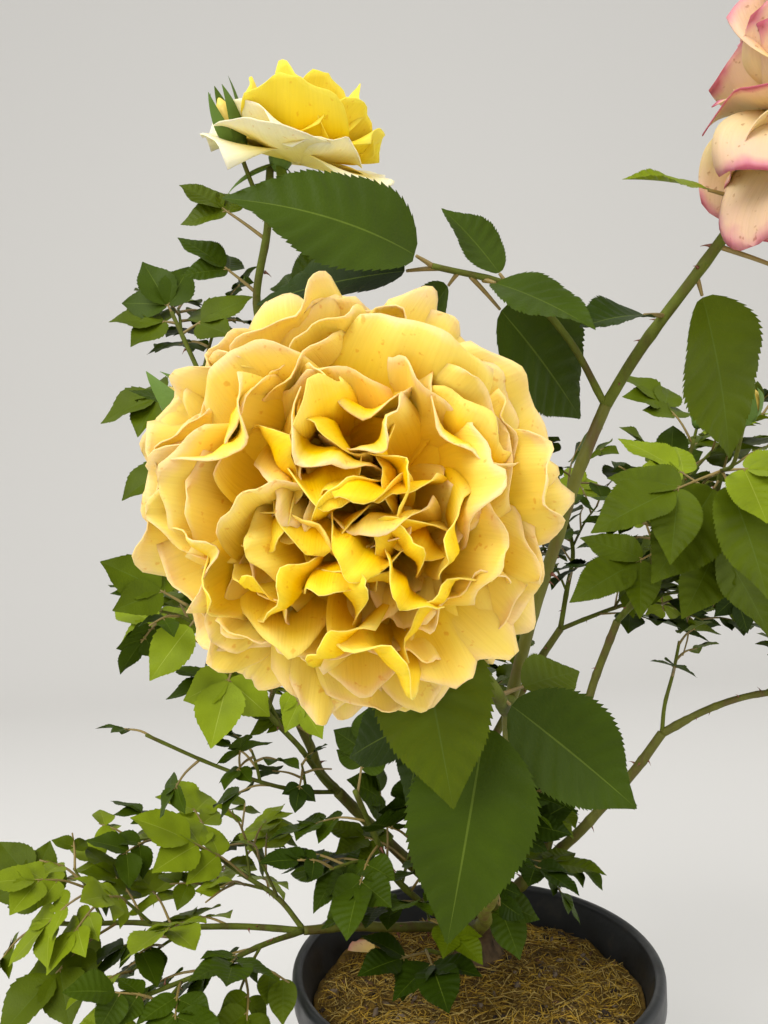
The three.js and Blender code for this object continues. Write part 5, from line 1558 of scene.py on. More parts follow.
def build_fibres(settings):
    """Coir fibres, each a thin bent thread with three sides."""
    random = np.random.default_rng(FIBRE_SEED)
    growth = Growth()
    limit = inner_radius(settings, in_mm(settings.soil_top)) - 3
    for _ in range(settings.fibres):
        x, y, _ = on_soil(settings, random)
        turn = random.uniform(0, 2 * math.pi)
        length = random.uniform(5, 26)
        bow = random.uniform(-0.9, 0.9)
        radius = random.uniform(0.16, 0.42)
        points = []
        for t in (0, 0.33, 0.67, 1):
            heading = turn + bow * (t - 0.5)
            px = x + length * (t - 0.5) * math.cos(heading)
            py = y + length * (t - 0.5) * math.sin(heading)
            if math.hypot(px, py) > limit:
                shrink = limit / math.hypot(px, py)
                px *= shrink
                py *= shrink
            arch = random.uniform(0.1, 1.8) + 3.0 * random.random() ** 6
            points.append((px, py, float(soil_height(settings, px, py)) + arch))
        if any(size(sub(b, a)) < 0.3 for a, b in zip(points, points[1:])):
            continue
        radii = [radius * 0.6, radius, radius * 0.9, radius * 0.4]
        tube(growth, points, radii, 3, int(random.integers(0, 4)))
    finishes = [
        flecked("Fibre gold", tone(194, 156, 50), 0.9),
        flecked("Fibre brown", tone(142, 110, 32), 0.9),
        flecked("Fibre pale", tone(192, 164, 86), 0.9),
        flecked("Fibre dark", tone(98, 74, 22), 0.9),
    ]
    return growth.made("rose_soil_fibres", finishes)


def build_chips(settings):
    """Bits of bark and coir, each a small uneven lump."""
    random = np.random.default_rng(CHIP_SEED)
    growth = Growth()
    for _ in range(settings.chips):
        x, y, z = on_soil(settings, random)
        length = random.uniform(1.6, 6.5) * (1.5 if random.random() > 0.93 else 1)
        turn = random.uniform(0, 2 * math.pi)
        ahead = np.array([math.cos(turn), math.sin(turn), random.uniform(-0.3, 0.3)])
        centre = np.array([x, y, z + random.uniform(0, 1.2)])
        path = [centre + ahead * length * (t - 0.5) for t in (0, 0.35, 0.7, 1)]
        radii = np.array([0.35, 1, 0.8, 0.3]) * length * random.uniform(0.2, 0.34)
        relief = random.uniform(0.6, 1.3, (4, 5))
        tube(growth, path, radii, 5, int(random.integers(0, 3)), relief)
    finishes = [
        flecked("Chip dark", tone(48, 36, 25), 0.92, bump=0.6),
        flecked("Chip brown", tone(92, 64, 38), 0.92, bump=0.6),
        flecked("Chip grey", tone(112, 96, 76), 0.92, bump=0.6),
    ]
    return growth.made("rose_soil_chips", finishes)


# The plan of the plant: limbs and buds first, then the leaves, as in the part's source
def lay_out_plant():
    """Where each limb, bud and leaf of the plant stands."""
    crown = Crown()
    limbs = {}
    for table, kink in ((CANES, CANE_KINK), (SHOOTS, STEM_KINK)):
        for spec in table:
            foot = spec.get("foot") or limbs[spec["from"]]["spine"][-1]
            spine = spine_of(foot, spec["bend"], spec["tip"], kink)
            first, last = spec["girth"]
            radii = [first + (last - first) * i / (len(spine) - 1) for i in range(len(spine))]
            limbs[spec["name"]] = {**spec, "spine": spine, "radii": radii}
    for limb in limbs.values():
        crown.add_balls(limb["name"], limb["spine"], limb["radii"])
        limb["buds"] = [bud_of(bud, limb["spine"]) for bud in limb.get("buds", [])]
        for bud in limb["buds"]:
            crown.add_balls(limb["name"], bud["stalk"], [BUD_STALK_RADIUS] * len(bud["stalk"]))
            middle = add(bud["tip"], mul(bud["heading"], BUD_LENGTH / 3))
            crown.add_ball("", middle, BUD_RADIUS + 3)
        if "bloom" in limb:
            bloom = BLOOMS[limb["bloom"]]
            reach, rise = bloom["ball"]
            middle = add(limb["spine"][-1], mul(unit(bloom["axis"]), rise / 2))
            crown.add_ball(limb["name"], middle, reach * BLOOM_ROOM)
    leaves = []
    for shoot in SHOOTS:
        spine = limbs[shoot["name"]]["spine"]
        for index, leaf in enumerate(shoot.get("own_leaves", [])):
            placed = set_leaf(crown, shoot, spine, leaf, index)
            if placed:
                leaves.append({**placed, "order": index})
        count = shoot.get("leaves", 0)
        for index in range(count):
            leaves.append(rule_leaf(crown, shoot, spine, index, count))
    leaves = [leaf for leaf in leaves if leaf]
    twigs = []
    for shoot in SHOOTS:
        if shoot["name"] in TWIGGY:
            twigs += finer_twigs(crown, shoot, limbs[shoot["name"]]["spine"], leaves)
    return {"limbs": limbs, "leaves": leaves, "twigs": twigs}


# Finer twigs: how many a shoot may bear, their habit, and how far inside its mass they end
TWIG_COUNT = 8
TWIGS_FROM = 0.2
TWIGS_SPAN = 0.75
TWIG_FORWARD = 0.9
TWIG_RISE = (0, 0, 0.35)
TWIG_LEAVES = 4
TWIG_HABIT = leafy(TWIG_LEAVES, 0.2, 64, 2, 30, 0.25)
TWIG_LEAF_SHARE = 0.76
TWIG_ROOM = [1.0, 0.9, 0.8]
TWIG_GIRTH = [1.05, 0.7]
TWIG_INSIDE = 12
MASS_MARGIN = 2
TWIGGY = [
    "left_high_shoot", "left_mid_shoot", "left_thin_shoot", "left_front_shoot",
    "inner_front_shoot", "mid_front_shoot", "mid_high_shoot",
    "low_left_shoot", "low_left_front_shoot", "low_left_back_shoot",
    "outer_right_shoot", "far_right_shoot",
    "back_left_shoot", "back_left_low_shoot", "back_middle_shoot",
    "back_right_shoot", "back_right_low_shoot",
]


def finer_twigs(crown, shoot, spine, leaves):
    """Side twigs between the leaves of a shoot, with smaller leaves, within the reach of its mass."""
    low, high = (np.array(corner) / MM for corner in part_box(shoot["name"]))
    low -= MASS_MARGIN
    high += MASS_MARGIN
    twigs = []
    leaf_length = shoot.get("leaf_length", TWIG_HABIT["leaf_length"])
    for k in range(TWIG_COUNT):
        chance = seeded(shoot["seed"] * 313 + k)
        point, heading = point_on(spine, TWIGS_FROM + TWIGS_SPAN * (k + 0.5) / TWIG_COUNT)
        outward = out_of_stem(heading, math.radians((k + 0.5) * NODE_TURN + 60 * chance()))
        ahead = unit(add(add(outward, mul(heading, TWIG_FORWARD)), TWIG_RISE))
        length = leaf_length * (0.4 + 0.35 * chance())
        tip = add(point, mul(ahead, length))
        bend = add(blend(point, tip, 0.5), (0, 0, 0.08 * length))
        if np.any(np.array(tip) < low + TWIG_INSIDE) or np.any(np.array(tip) > high - TWIG_INSIDE):
            continue
        path = [point, bend, tip]
        if not crown.stalk_is_free(path, shoot["name"], point):
            continue
        crown.add_balls(shoot["name"], path, TWIG_ROOM)
        small = {**TWIG_HABIT, **shoot, "seed": shoot["seed"] * 17 + k, "bare": TWIG_HABIT["bare"]}
        small["leaf_length"] = leaf_length * TWIG_LEAF_SHARE
        grown = []
        for index in range(TWIG_LEAVES):
            leaf = rule_leaf(crown, small, path, index, TWIG_LEAVES)
            if leaf:
                leaf["leaflets"] = [one for one in leaf["leaflets"] if within(one, low, high)]
                grown.append(leaf)
        if grown:
            leaves.extend(grown)
            twigs.append(path)
    return twigs


def within(leaflet, low, high):
    corners = rim_samples(leaflet)[:, 0, :]
    return bool(np.all(corners > low) and np.all(corners < high))


# Wood: sides and radii of its limbs, and the union's profile as shares of its girth and height
UNION_ROWS = 46
UNION_SIDES = 48
CANE_SIDES = 18
STEM_SIDES = 10
BUD_STALK_GIRTH = (1.15, 0.95)
LEAFLET_STALK = (0.5, 0.42, 0.3)
UNION_PROFILE = [
    (1.55, -0.12), (1.5, 0), (1.36, 0.06), (1.02, 0.22), (0.86, 0.4),
    (1.04, 0.62), (1.02, 0.8), (0.66, 0.95), (0.12, 1),
]


def build_union(settings):
    """The graft union: a knobbly stub with its root flare and the swelling under the canes."""
    foot = SOIL_TOP + 0.2
    girths, heights = zip(*UNION_PROFILE)
    shares = np.linspace(0, len(girths) - 1, UNION_ROWS)
    girth = np.interp(shares, range(len(girths)), girths) * UNION_GIRTH
    height = foot + UNION_HEIGHT * np.interp(shares, range(len(heights)), heights)
    turn = 2 * np.pi * np.arange(UNION_SIDES)[None, :] / UNION_SIDES
    share = ((height - foot) / UNION_HEIGHT)[:, None]
    knobs = 1 + 0.1 * np.sin(3 * turn + 5 * share) + 0.06 * np.sin(5 * turn + 1)
    relief = knobs * wavering(UNION_SEED, UNION_ROWS, UNION_SIDES, 0.05, settings.bark_relief * 0.25)
    path = np.stack([np.full(UNION_ROWS, UNION_X), np.full(UNION_ROWS, UNION_Y), height], axis=1)
    growth = Growth()
    tube(growth, path, girth, UNION_SIDES, 0, relief)
    old = tuple(settings.old_bark)
    return growth.made("rose_graft_union", [bark_finish("Old bark", old, scaled(old, 0.35))])


# Limbs under this radius are drawn at a share of it, and nodes follow each other at a distance
THIN_LIMB = 2.6
SLIM_SHARE = 0.86
NODE_DISTANCE = 27


def swollen(path, radii, number):
    """Radii of a limb with a small swelling at each of its nodes."""
    lengths = np.concatenate([[0], np.cumsum(np.linalg.norm(np.diff(path, axis=0), axis=1))])
    node = np.exp(-(((lengths + number * 7) % NODE_DISTANCE - 13) ** 2) / 5)
    return radii * (1 + 0.11 * node)


def limb_path(limb, parts):
    path = flowing(limb["spine"], parts)
    radii = np.interp(np.linspace(0, 1, len(path)), np.linspace(0, 1, len(limb["radii"])), limb["radii"])
    slim = np.where(radii < THIN_LIMB, SLIM_SHARE, 1.0)
    return path, radii * slim


def build_canes(plan, settings):
    """The canes with the relief of their bark."""
    growth = Growth()
    rough = settings.bark_relief * 0.5
    fine = settings.bark_relief * 0.12
    for number, cane in enumerate(CANES):
        path, radii = limb_path(plan["limbs"][cane["name"]], 12)
        relief = wavering(CANE_SEED + number, len(path), CANE_SIDES, rough, fine)
        tube(growth, path, swollen(path, radii, number), CANE_SIDES, 0, relief)
    return growth.made("rose_canes", [bark_finish("Cane bark", tuple(settings.cane), tone(92, 72, 40), 0.5)])


def build_thorns(plan, settings):
    """Hooked thorns, dealt out along the canes and the stronger stems by a seeded rule."""
    random = np.random.default_rng(THORN_SEED)
    growth = Growth()
    limbs = [plan["limbs"][cane["name"]] for cane in CANES]
    limbs += [plan["limbs"][shoot["name"]] for shoot in SHOOTS if shoot["girth"][0] > 1.8]
    for _ in range(settings.thorns):
        limb = limbs[int(random.integers(0, len(limbs)))]
        point, heading = point_on(limb["spine"], random.uniform(0.08, 0.9))
        radius = limb["radii"][0]
        side = unit(cross(heading, (random.uniform(-1, 1), random.uniform(-1, 1), random.uniform(-1, 1))))
        length = settings.thorn_length / MM * random.uniform(0.5, 1.0) * min(1.0, radius / 3.4)
        start = add(point, mul(side, radius * 0.75))
        path = []
        for t in (0, 0.3, 0.65, 1):
            away = mul(side, length * t)
            hook = mul(heading, -0.42 * length * t * t)
            path.append(add(add(start, away), hook))
        radii = np.array([0.42, 0.22, 0.1, 0.02]) * length * 0.62
        tube(growth, path, radii, 6, 0)
    return growth.made("rose_thorns", [flecked("Thorn", tuple(settings.thorn), 0.45, bump=0.1)])


def build_stems(plan, settings):
    """The stems of the shoots with their side twigs, leaf stalks and bud stalks."""
    growth = Growth()
    for number, shoot in enumerate(SHOOTS):
        limb = plan["limbs"][shoot["name"]]
        path, radii = limb_path(limb, 8)
        relief = wavering(STEM_SEED + number, len(path), STEM_SIDES, 0.05, 0.015)
        tube(growth, path, swollen(path, radii, number), STEM_SIDES, 0, relief)
        for bud in limb["buds"]:
            stalk = flowing(bud["stalk"], 6)
            tube(growth, stalk, np.linspace(*BUD_STALK_GIRTH, len(stalk)), 8, 0)
    for twig in plan["twigs"]:
        path = flowing(twig, 6)
        tube(growth, path, np.linspace(*TWIG_GIRTH, len(path)), 6, 0)
    for leaf in plan["leaves"]:
        stalk = flowing(leaf["stalk"], 4)
        tube(growth, stalk, np.linspace(STALK_RADIUS * 1.05, LEAFLET_STALK[0], len(stalk)), 6, 1)
        for leaflet in leaf["leaflets"][1:]:
            short = [add(leaflet["base"], mul(leaflet["ahead"], d)) for d in (-0.4, 0.9, 2.0)]
            tube(growth, short, LEAFLET_STALK, 5, 1)
    finishes = [
        bark_finish("Green stem", tuple(settings.stem), tone(80, 70, 30)),
        flecked("Leaf stalk", tuple(settings.petiole), 0.5, spread=0.2, scale=60.0),
    ]
    return growth.made("rose_stems", finishes)


# Leaves: their tints are slots, and shoots at the front of the bush get finely toothed leaves
# The olive slot is painted light: a lighter, yellower copy of the leaf green, dealt to leaves that stand in
# full light
DARK, GREEN, LIT_OLIVE, FRESH, RIB, BRIGHT_RIB = range(6)
NEAR_SHOOTS = [
    "main_bloom_shoot", "upper_leaf_shoot", "pink_bloom_shoot", "mid_front_shoot", "top_bloom_shoot",
    "left_front_shoot", "inner_front_shoot", "front_basal_shoot", "low_left_front_shoot", "right_twig_shoot",
]
YOUNG_SHOOTS = ["low_left_shoot", "low_left_front_shoot", "low_left_back_shoot", "left_mid_shoot"]
DARK_SHOOTS = [
    "inner_front_shoot", "front_basal_shoot", "left_front_shoot", "main_bloom_shoot", "upper_leaf_shoot",
]
SMALL_LEAF_FULLNESS = 1.18
# Tints of the leaves with a place of their own, in the order of their shoot
SET_TINTS = {
    "main_bloom_shoot": [GREEN, GREEN, LIT_OLIVE, LIT_OLIVE, DARK],
    "upper_leaf_shoot": [GREEN, DARK, GREEN, GREEN, GREEN, GREEN],
    "pink_bloom_shoot": [LIT_OLIVE, DARK, FRESH, GREEN, GREEN, GREEN],
    "top_bloom_shoot": [LIT_OLIVE, GREEN, GREEN, GREEN, GREEN, GREEN, DARK],
    "left_mid_shoot": [LIT_OLIVE, FRESH, FRESH, FRESH, GREEN, FRESH],
}


# Tints of all other leaves: the chance up to which each is dealt
YOUNG_TINTS = [(0.5, FRESH), (0.8, LIT_OLIVE), (1, GREEN)]
DARK_TINTS = [(0.45, DARK), (0.85, GREEN), (1, LIT_OLIVE)]
MIXED_TINTS = [(0.15, DARK), (0.5, GREEN), (0.86, LIT_OLIVE), (1, FRESH)]


def leaf_slots(leaf, chance):
    """The slots of a leaf's blades and midribs, by its place or else by its shoot and by chance."""
    owner = leaf["owner"]
    own_tints = SET_TINTS.get(owner, [])
    if leaf.get("order", len(own_tints)) < len(own_tints):
        blade_slot = own_tints[leaf["order"]]
    else:
        tints = YOUNG_TINTS if owner in YOUNG_SHOOTS else DARK_TINTS if owner in DARK_SHOOTS else MIXED_TINTS
        blade_slot = next(slot for last, slot in tints if chance < last)
    return blade_slot, BRIGHT_RIB if blade_slot == FRESH else RIB


def build_leaves(plan, settings, near):
    """One piece of all near leaves, or of all the others."""
    growth = Growth()
    template = leaflet_template(settings.near_teeth if near else settings.far_teeth)
    for number, leaf in enumerate(plan["leaves"]):
        if (leaf["owner"] in NEAR_SHOOTS) != near:
            continue
        chance = seeded(TINT_SEED + number)
        slot, rib_slot = leaf_slots(leaf, chance())
        fullness = 1 if "order" in leaf and near else SMALL_LEAF_FULLNESS
        for leaflet in leaf["leaflets"]:
            blade(growth, template, leaflet, fullness, 6.28 * chance(), slot, rib_slot)
    kind = "near" if near else "far"
    names = ["dark", "green", "olive", "fresh", "rib", "bright_rib"]
    finishes = [leaf_finish(f"Leaf {kind} {name}", tuple(getattr(settings, name))) for name in names]
    return growth.made(f"rose_leaves_{kind}", finishes)


# Blooms
def bloom_base(plan, kind):
    """The end of the stem that bears a bloom."""
    for limb in plan["limbs"].values():
        if limb.get("bloom") == kind:
            return np.array(limb["spine"][-1], dtype=float)
    raise ValueError(f"no shoot bears the bloom {kind}")


def build_petals(plan, settings, kind, finishes):
    """The petals of one bloom as one piece, outer petals first, with finishes for fronts and backs."""
    bloom = BLOOMS[kind]
    base = bloom_base(plan, kind)
    frame_of = bloom_frame(bloom)
    growth = Growth()
    for shape in petal_shapes(bloom):
        slot = next(i for i, last in enumerate(bloom["zones"]) if shape["inner"] <= last)
        petal(growth, frame_of, base + bloom["shift"] + shape["sink"], shape, *bloom["grid"], slot)
    thing = growth.made(f"rose_{kind}_petals", finishes, mapped=True)
    fronts = len(finishes) // 2
    apply_modifier(
        thing, "SOLIDIFY", "Petal thickness", thickness=settings.petal_thickness, offset=0.0,
        use_even_offset=False, material_offset=fronts, material_offset_rim=fronts,
    )
    part_the_backs(thing, fronts)
    return thing


def part_the_backs(thing, fronts):
    """Moves the backs of the petals to the right half of their sheet."""
    faces = thing.data.polygons
    slots = np.empty(len(faces), dtype=int)
    totals = np.empty(len(faces), dtype=int)
    faces.foreach_get("material_index", slots)
    faces.foreach_get("loop_total", totals)
    layer = thing.data.uv_layers["OFBake"].data
    places = np.empty(2 * len(layer))
    layer.foreach_get("uv", places)
    places = places.reshape(-1, 2)
    places[:, 0] += 0.5 * np.repeat(slots >= fronts, totals)
    layer.foreach_set("uv", places.ravel())


def build_main_petals(plan, settings):
    yellow = tuple(settings.yellow)
    gold = tuple(settings.heart)
    cream = tuple(settings.cream)
    peach = tuple(settings.peach)
    blotch = tone(232, 180, 120)
    lit = tone(248, 204, 8)
    pale = tone(249, 212, 56)
    fronts = [
        [(0.0, gold), (0.4, yellow), (0.78, lit), (0.93, cream), (1.0, peach)],
        [(0.0, gold), (0.5, yellow), (0.87, lit), (0.97, cream), (1.0, peach)],
        [(0.0, tone(252, 180, 8)), (0.5, gold), (0.85, yellow), (1.0, pale)],
    ]
    backs = [
        [(0.0, yellow), (0.5, pale), (0.85, cream), (1.0, peach)],
        [(0.0, yellow), (0.6, pale), (0.92, cream), (1.0, peach)],
        [(0.0, gold), (0.5, yellow), (0.85, pale), (1.0, cream)],
    ]
    names = ["Guard petal", "Middle petal", "Heart petal", "Guard back", "Middle back", "Heart back"]
    finishes = [petal_finish(name, stops, blotch) for name, stops in zip(names, fronts + backs)]
    return build_petals(plan, settings, "main", finishes)


def build_pink_petals(plan, settings):
    apricot = tuple(settings.apricot)
    pink = tuple(settings.pink)
    blotch = tone(170, 110, 70)
    blush = tone(232, 190, 160)
    rim = tone(184, 92, 112)
    outer = [(0.0, apricot), (0.58, tone(230, 202, 152)), (0.88, blush), (0.96, pink), (1.0, rim)]
    inner = [(0.0, tone(236, 192, 96)), (0.6, tone(234, 204, 140)), (0.9, blush), (1.0, pink)]
    names = ["Pink-edged petal", "Apricot petal", "Pink-edged back", "Apricot back"]
    finishes = [petal_finish(name, stops, blotch) for name, stops in zip(names, [outer, inner] * 2)]
    return build_petals(plan, settings, "pink", finishes)


def build_top_petals(plan, settings):
    ivory = tone(248, 238, 186)
    outer = [(0.0, tone(244, 210, 60)), (0.4, tone(248, 226, 120)), (0.75, ivory), (1.0, tone(246, 236, 200))]
    inner = [(0.0, tone(238, 186, 16)), (0.6, tone(246, 212, 30)), (1.0, tone(250, 226, 84))]
    blotch = tone(236, 200, 150)
    names = ["Top outer petal", "Top inner petal", "Top outer back", "Top inner back"]
    finishes = [petal_finish(name, stops, blotch) for name, stops in zip(names, [outer, inner] * 2)]
    return build_petals(plan, settings, "top", finishes)


def build_bloom_green(plan, settings):
    """The calyx and sepals under each bloom."""
    random = np.random.default_rng(SEPAL_SEED)
    growth = Growth()
    for kind, bloom in BLOOMS.items():
        base = bloom_base(plan, kind) + 0.3 * np.array(bloom["shift"])
        axis, right, up = bloom_frame(bloom)
        turned(growth, base - 3 * np.array(axis), axis, calyx_profile(5.2, 8), 14, 0)
        for i in range(SEPALS):
            turn = 2 * math.pi * i / SEPALS + 0.4
            outward = add(mul(right, math.cos(turn)), mul(up, math.sin(turn)))
            ahead = add(outward, mul(axis, random.uniform(-0.7, -0.2)))
            start = tuple(base + 3.5 * np.array(outward))
            length = bloom["sepals"] * random.uniform(0.85, 1.15)
            bend = random.uniform(0.1, 0.9)
            pointed_strip(growth, start, ahead, mul(axis, -1), length, 5.6, bend, 0)
    return growth.made("rose_bloom_sepals", [leaf_finish("Sepal", tuple(settings.sepal))])


def build_buds(plan, settings):
    """Closed buds wrapped in long-tipped sepals."""
    random = np.random.default_rng(BUD_SEED)
    growth = Growth()
    for limb in plan["limbs"].values():
        for bud in limb["buds"]:
            axis = bud["heading"]
            right = unit(cross(axis, (0.1, 0.2, 1) if abs(axis[2]) < 0.95 else (1, 0, 0)))
            up = cross(axis, right)
            base = np.array(bud["tip"])
            turned(growth, base - 2 * np.array(axis), axis, calyx_profile(4.6, 8), 12, 0)
            turned(growth, base + 3 * np.array(axis), axis, bud_profile(BUD_RADIUS, BUD_LENGTH - 3), 14, 1)
            for i in range(SEPALS):
                turn = 2 * math.pi * i / SEPALS + 0.2
                outward = add(mul(right, math.cos(turn)), mul(up, math.sin(turn)))
                start = tuple(base + 3 * np.array(axis) + 4.2 * np.array(outward))
                ahead = add(axis, mul(outward, 0.42))
                bend = random.uniform(0.5, 1.1)
                length = BUD_LENGTH * random.uniform(0.95, 1.2)
                pointed_strip(growth, start, ahead, mul(outward, -1), length, 8.6, bend, 0)
    finishes = [
        leaf_finish("Bud sepal", tuple(settings.sepal)),
        flecked("Bud petal", tone(240, 206, 92), 0.5),
    ]
    return growth.made("rose_buds", finishes)


def build_fallen_petal():
    """One petal that lies on the soil."""
    shape = {
        "turn": 2.6, "reach": 17, "rise": 3, "width": 20, "frill": 1.2, "phase": 1.0, "point": 0.05,
        "notch": 0.02, "sharp": 0.3, "lean": (0, 0), "cup": 0.25, "fold": 0.1, "twist": 0.1, "roll": 0.5,
        "roll_from": 0.66, "edge": 0.2,
    }
    place = np.array([-62.0, 42.0, SOIL_TOP + 5])
    level = ((0.0, 0.0, 1.0), (1.0, 0.0, 0.0), (0.0, 1.0, 0.0))
    growth = Growth()
    petal(growth, level, place, shape, 10, 9, 0)
    stops = [(0.0, tone(240, 208, 110)), (0.6, tone(238, 196, 140)), (1.0, tone(214, 140, 130))]
    finish = petal_finish("Fallen petal", stops, tone(200, 150, 110))
    return growth.made("rose_fallen_petal", [finish], mapped=True)


# The stage, in metres and degrees
FLOOR_SIZE = 7.0
FLOOR_BACK = 3.4
BACKDROP_HEIGHT = 4.0
BACKDROP_ROUND = 1.4
LIGHT_AIM = (0.0, 0.0, 0.35)
SKY_COLOUR = (1.0, 0.995, 0.98, 1.0)
SKY_STRENGTH = 0.72
CAMERA_PLACE = (-0.043, -0.485, 0.434)
CAMERA_PITCH = -3.8
CAMERA_ROLL = -2.5


def camera_matrix():
    """The camera's place and turn: level by a little, tipped and rolled as it was held."""
    pitch = math.radians(CAMERA_PITCH)
    forward = Vector((0.0, math.cos(pitch), -math.sin(pitch)))
    right = Vector((1.0, 0.0, 0.0))
    up = right.cross(forward)
    roll = math.radians(CAMERA_ROLL)
    rolled_right = math.cos(roll) * right + math.sin(roll) * up
    rolled_up = -math.sin(roll) * right + math.cos(roll) * up
    turn = Matrix((rolled_right, rolled_up, -forward)).transposed().to_4x4()
    return Matrix.Translation(Vector(CAMERA_PLACE)) @ turn


def build_floor(settings):
    """A pale floor that sweeps up into a backdrop behind the bush."""
    deselect_all()
    bpy.ops.mesh.primitive_plane_add(size=FLOOR_SIZE, location=(0.0, 0.0, 0.0))
    floor = bpy.context.object
    floor.name = "stage_floor"
    bpy.ops.object.mode_set(mode="EDIT")
    bpy.ops.mesh.select_all(action="DESELECT")
    bpy.ops.object.mode_set(mode="OBJECT")
    for edge in floor.data.edges:
        ends = [floor.data.vertices[i].co.y for i in edge.vertices]
        edge.select = min(ends) > FLOOR_BACK
    bpy.ops.object.mode_set(mode="EDIT")
    bpy.ops.mesh.select_mode(type="EDGE")
    bpy.ops.mesh.extrude_region_move(TRANSFORM_OT_translate={"value": (0.0, 0.0, BACKDROP_HEIGHT)})
    bpy.ops.mesh.select_all(action="DESELECT")
    bpy.ops.object.mode_set(mode="OBJECT")
    for edge in floor.data.edges:
        ends = [floor.data.vertices[i].co for i in edge.vertices]
        edge.select = all(end.y > FLOOR_BACK and abs(end.z) < 0.01 for end in ends)
    bpy.ops.object.mode_set(mode="EDIT")
    bpy.ops.mesh.bevel(offset=BACKDROP_ROUND, segments=14, affect="EDGES")
    bpy.ops.object.mode_set(mode="OBJECT")
    finish = Finish("Stage floor", 0.9)
    finish.adjust("Base Color", (*settings.floor, 1.0))
    floor.data.materials.append(finish.material)
    make_active(floor)
    bpy.ops.object.shade_smooth_by_angle(angle=SMOOTH_BELOW)
    return floor


def build_lights(settings):
    """A wide key light from the front left, a fill from the right and an even pale sky."""
    lights = []
    kinds = [("stage_key", (-1.1, -1.5, 1.9), 1.6, 1.0), ("stage_fill", (1.6, -1.0, 1.3), 1.8, 0.35)]
    for name, place, spread, share in kinds:
        deselect_all()
        bpy.ops.object.light_add(type="AREA", location=place)
        light = bpy.context.object
        light.name = name
        light.data.size = spread
        light.data.energy = settings.light * share
        aim = Vector(LIGHT_AIM) - Vector(place)
        light.rotation_euler = aim.to_track_quat("-Z", "Y").to_euler()
        lights.append(light)
    world = bpy.data.worlds.new("Stage sky")
    bpy.context.scene.world = world
    world.use_nodes = True
    background = world.node_tree.nodes["Background"]
    background.inputs["Color"].default_value = SKY_COLOUR
    background.inputs["Strength"].default_value = SKY_STRENGTH
    bpy.context.scene.view_settings.view_transform = "Standard"
    return lights


def build_camera(settings):
    deselect_all()
    bpy.ops.object.camera_add()
    camera = bpy.context.object
    camera.name = "stage_camera"
    camera.data.lens = settings.lens
    camera.data.sensor_width = 36.0
    camera.data.clip_start = 0.01
    camera.matrix_world = camera_matrix()
    bpy.context.scene.camera = camera
    return camera


# Operators
PLAN = {}


def plan_of_plant():
    if "plant" not in PLAN:
        PLAN["plant"] = lay_out_plant()
    return PLAN["plant"]


def settle(thing, nodes):
    """Ties a finished piece to the pot's body and to the nodes that it stands for."""
    if thing is None or not thing.data.polygons:
        raise RuntimeError("a piece of the rose bush came out empty")
    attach(thing, "root")
    if nodes:
        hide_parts(*nodes)


class ROSE_OT_pot(bpy.types.Operator):
    """Builds the nursery pot"""

    bl_idname = "rose.pot"
    bl_label = "Pot"

    def execute(self, context):
        settle(build_pot(context.scene.rose_pot), ["pot"])
        return {"FINISHED"}


class ROSE_OT_soil(bpy.types.Operator):
    """Builds the soil with its fibres and bits of bark"""

    bl_idname = "rose.soil"
    bl_label = "Soil"

    def execute(self, context):
        settings = context.scene.rose_pot
        settle(build_soil(settings), ["soil"])
        settle(build_fibres(settings), [])
        settle(build_chips(settings), [])
        return {"FINISHED"}


class ROSE_OT_wood(bpy.types.Operator):
    """Builds the graft union and the canes with their thorns"""

    bl_idname = "rose.wood"
    bl_label = "Canes"

    def execute(self, context):
        settings = context.scene.rose_wood
        plan = plan_of_plant()
        settle(build_union(settings), ["graft_union"])
        settle(build_canes(plan, settings), [cane["name"] for cane in CANES])
        settle(build_thorns(plan, settings), [])
        return {"FINISHED"}


class ROSE_OT_stems(bpy.types.Operator):
    """Builds the stems of the shoots, their side twigs and stalks"""

    bl_idname = "rose.stems"
    bl_label = "Stems"

    def execute(self, context):
        stems = build_stems(plan_of_plant(), context.scene.rose_wood)
        settle(stems, [shoot["name"] for shoot in SHOOTS])
        return {"FINISHED"}


class ROSE_OT_leaves(bpy.types.Operator):
    """Builds the leaves"""

    bl_idname = "rose.leaves"
    bl_label = "Leaves"

    def execute(self, context):
        settings = context.scene.rose_leaves
        plan = plan_of_plant()
        settle(build_leaves(plan, settings, near=True), [])
        settle(build_leaves(plan, settings, near=False), [])
        return {"FINISHED"}


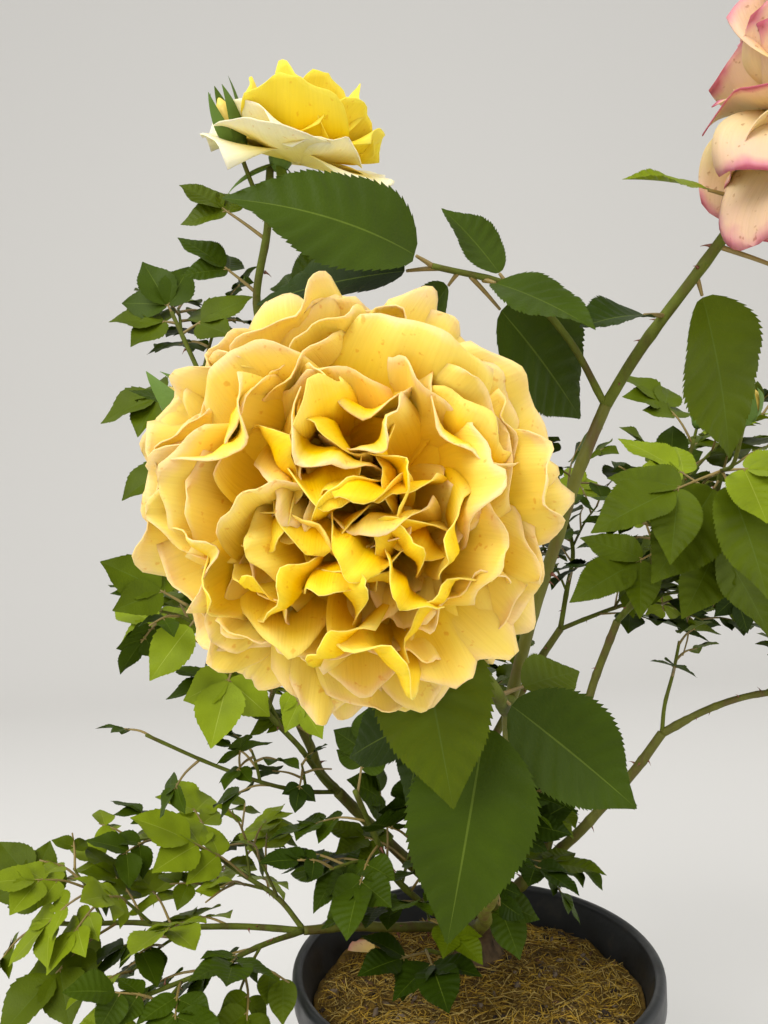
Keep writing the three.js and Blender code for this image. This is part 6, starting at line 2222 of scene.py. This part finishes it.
class ROSE_OT_blooms(bpy.types.Operator):
    """Builds the three blooms, their sepals and the buds"""

    bl_idname = "rose.blooms"
    bl_label = "Blooms and buds"

    def execute(self, context):
        settings = context.scene.rose_blooms
        plan = plan_of_plant()
        settle(build_main_petals(plan, settings), [])
        settle(build_top_petals(plan, settings), [])
        settle(build_pink_petals(plan, settings), [])
        settle(build_bloom_green(plan, settings), [])
        settle(build_buds(plan, settings), [])
        return {"FINISHED"}


class ROSE_OT_litter(bpy.types.Operator):
    """Lays a fallen petal on the soil"""

    bl_idname = "rose.litter"
    bl_label = "Fallen petal"

    def execute(self, context):
        settle(build_fallen_petal(), [])
        return {"FINISHED"}


class ROSE_OT_stage(bpy.types.Operator):
    """Builds the floor, the lights and the camera"""

    bl_idname = "rose.stage"
    bl_label = "Stage"

    def execute(self, context):
        settings = context.scene.rose_stage
        floor = build_floor(settings)
        lights = build_lights(settings)
        camera = build_camera(settings)
        return {"FINISHED"}


STEPS = (
    ROSE_OT_pot, ROSE_OT_soil, ROSE_OT_wood, ROSE_OT_stems,
    ROSE_OT_leaves, ROSE_OT_blooms, ROSE_OT_litter, ROSE_OT_stage,
)
SETTINGS = {
    "rose_pot": RosePotSettings,
    "rose_wood": RoseWoodSettings,
    "rose_leaves": RoseLeafSettings,
    "rose_blooms": RoseBloomSettings,
    "rose_stage": RoseStageSettings,
}


class ROSE_PT_panel(bpy.types.Panel):
    """The rose bush's settings and the operators that build it"""

    bl_idname = "ROSE_PT_panel"
    bl_label = "Potted Rose Bush"
    bl_space_type = "VIEW_3D"
    bl_region_type = "UI"
    bl_category = "Rose Bush"

    def draw(self, context):
        layout = self.layout
        for name, kind in SETTINGS.items():
            box = layout.box()
            box.label(text=kind.__doc__)
            settings = getattr(context.scene, name)
            for setting in kind.__annotations__:
                box.prop(settings, setting)
        for step in STEPS:
            layout.operator(step.bl_idname)


def register():
    for kind in (*SETTINGS.values(), *STEPS, ROSE_PT_panel):
        bpy.utils.register_class(kind)
    for name, kind in SETTINGS.items():
        setattr(bpy.types.Scene, name, bpy.props.PointerProperty(type=kind))


def unregister():
    for name in SETTINGS:
        delattr(bpy.types.Scene, name)
    for kind in reversed((*SETTINGS.values(), *STEPS, ROSE_PT_panel)):
        bpy.utils.unregister_class(kind)


def main():
    register()
    for step in STEPS:
        group, action = step.bl_idname.split(".")
        getattr(getattr(bpy.ops, group), action)()


if __name__ == "__main__":
    main()
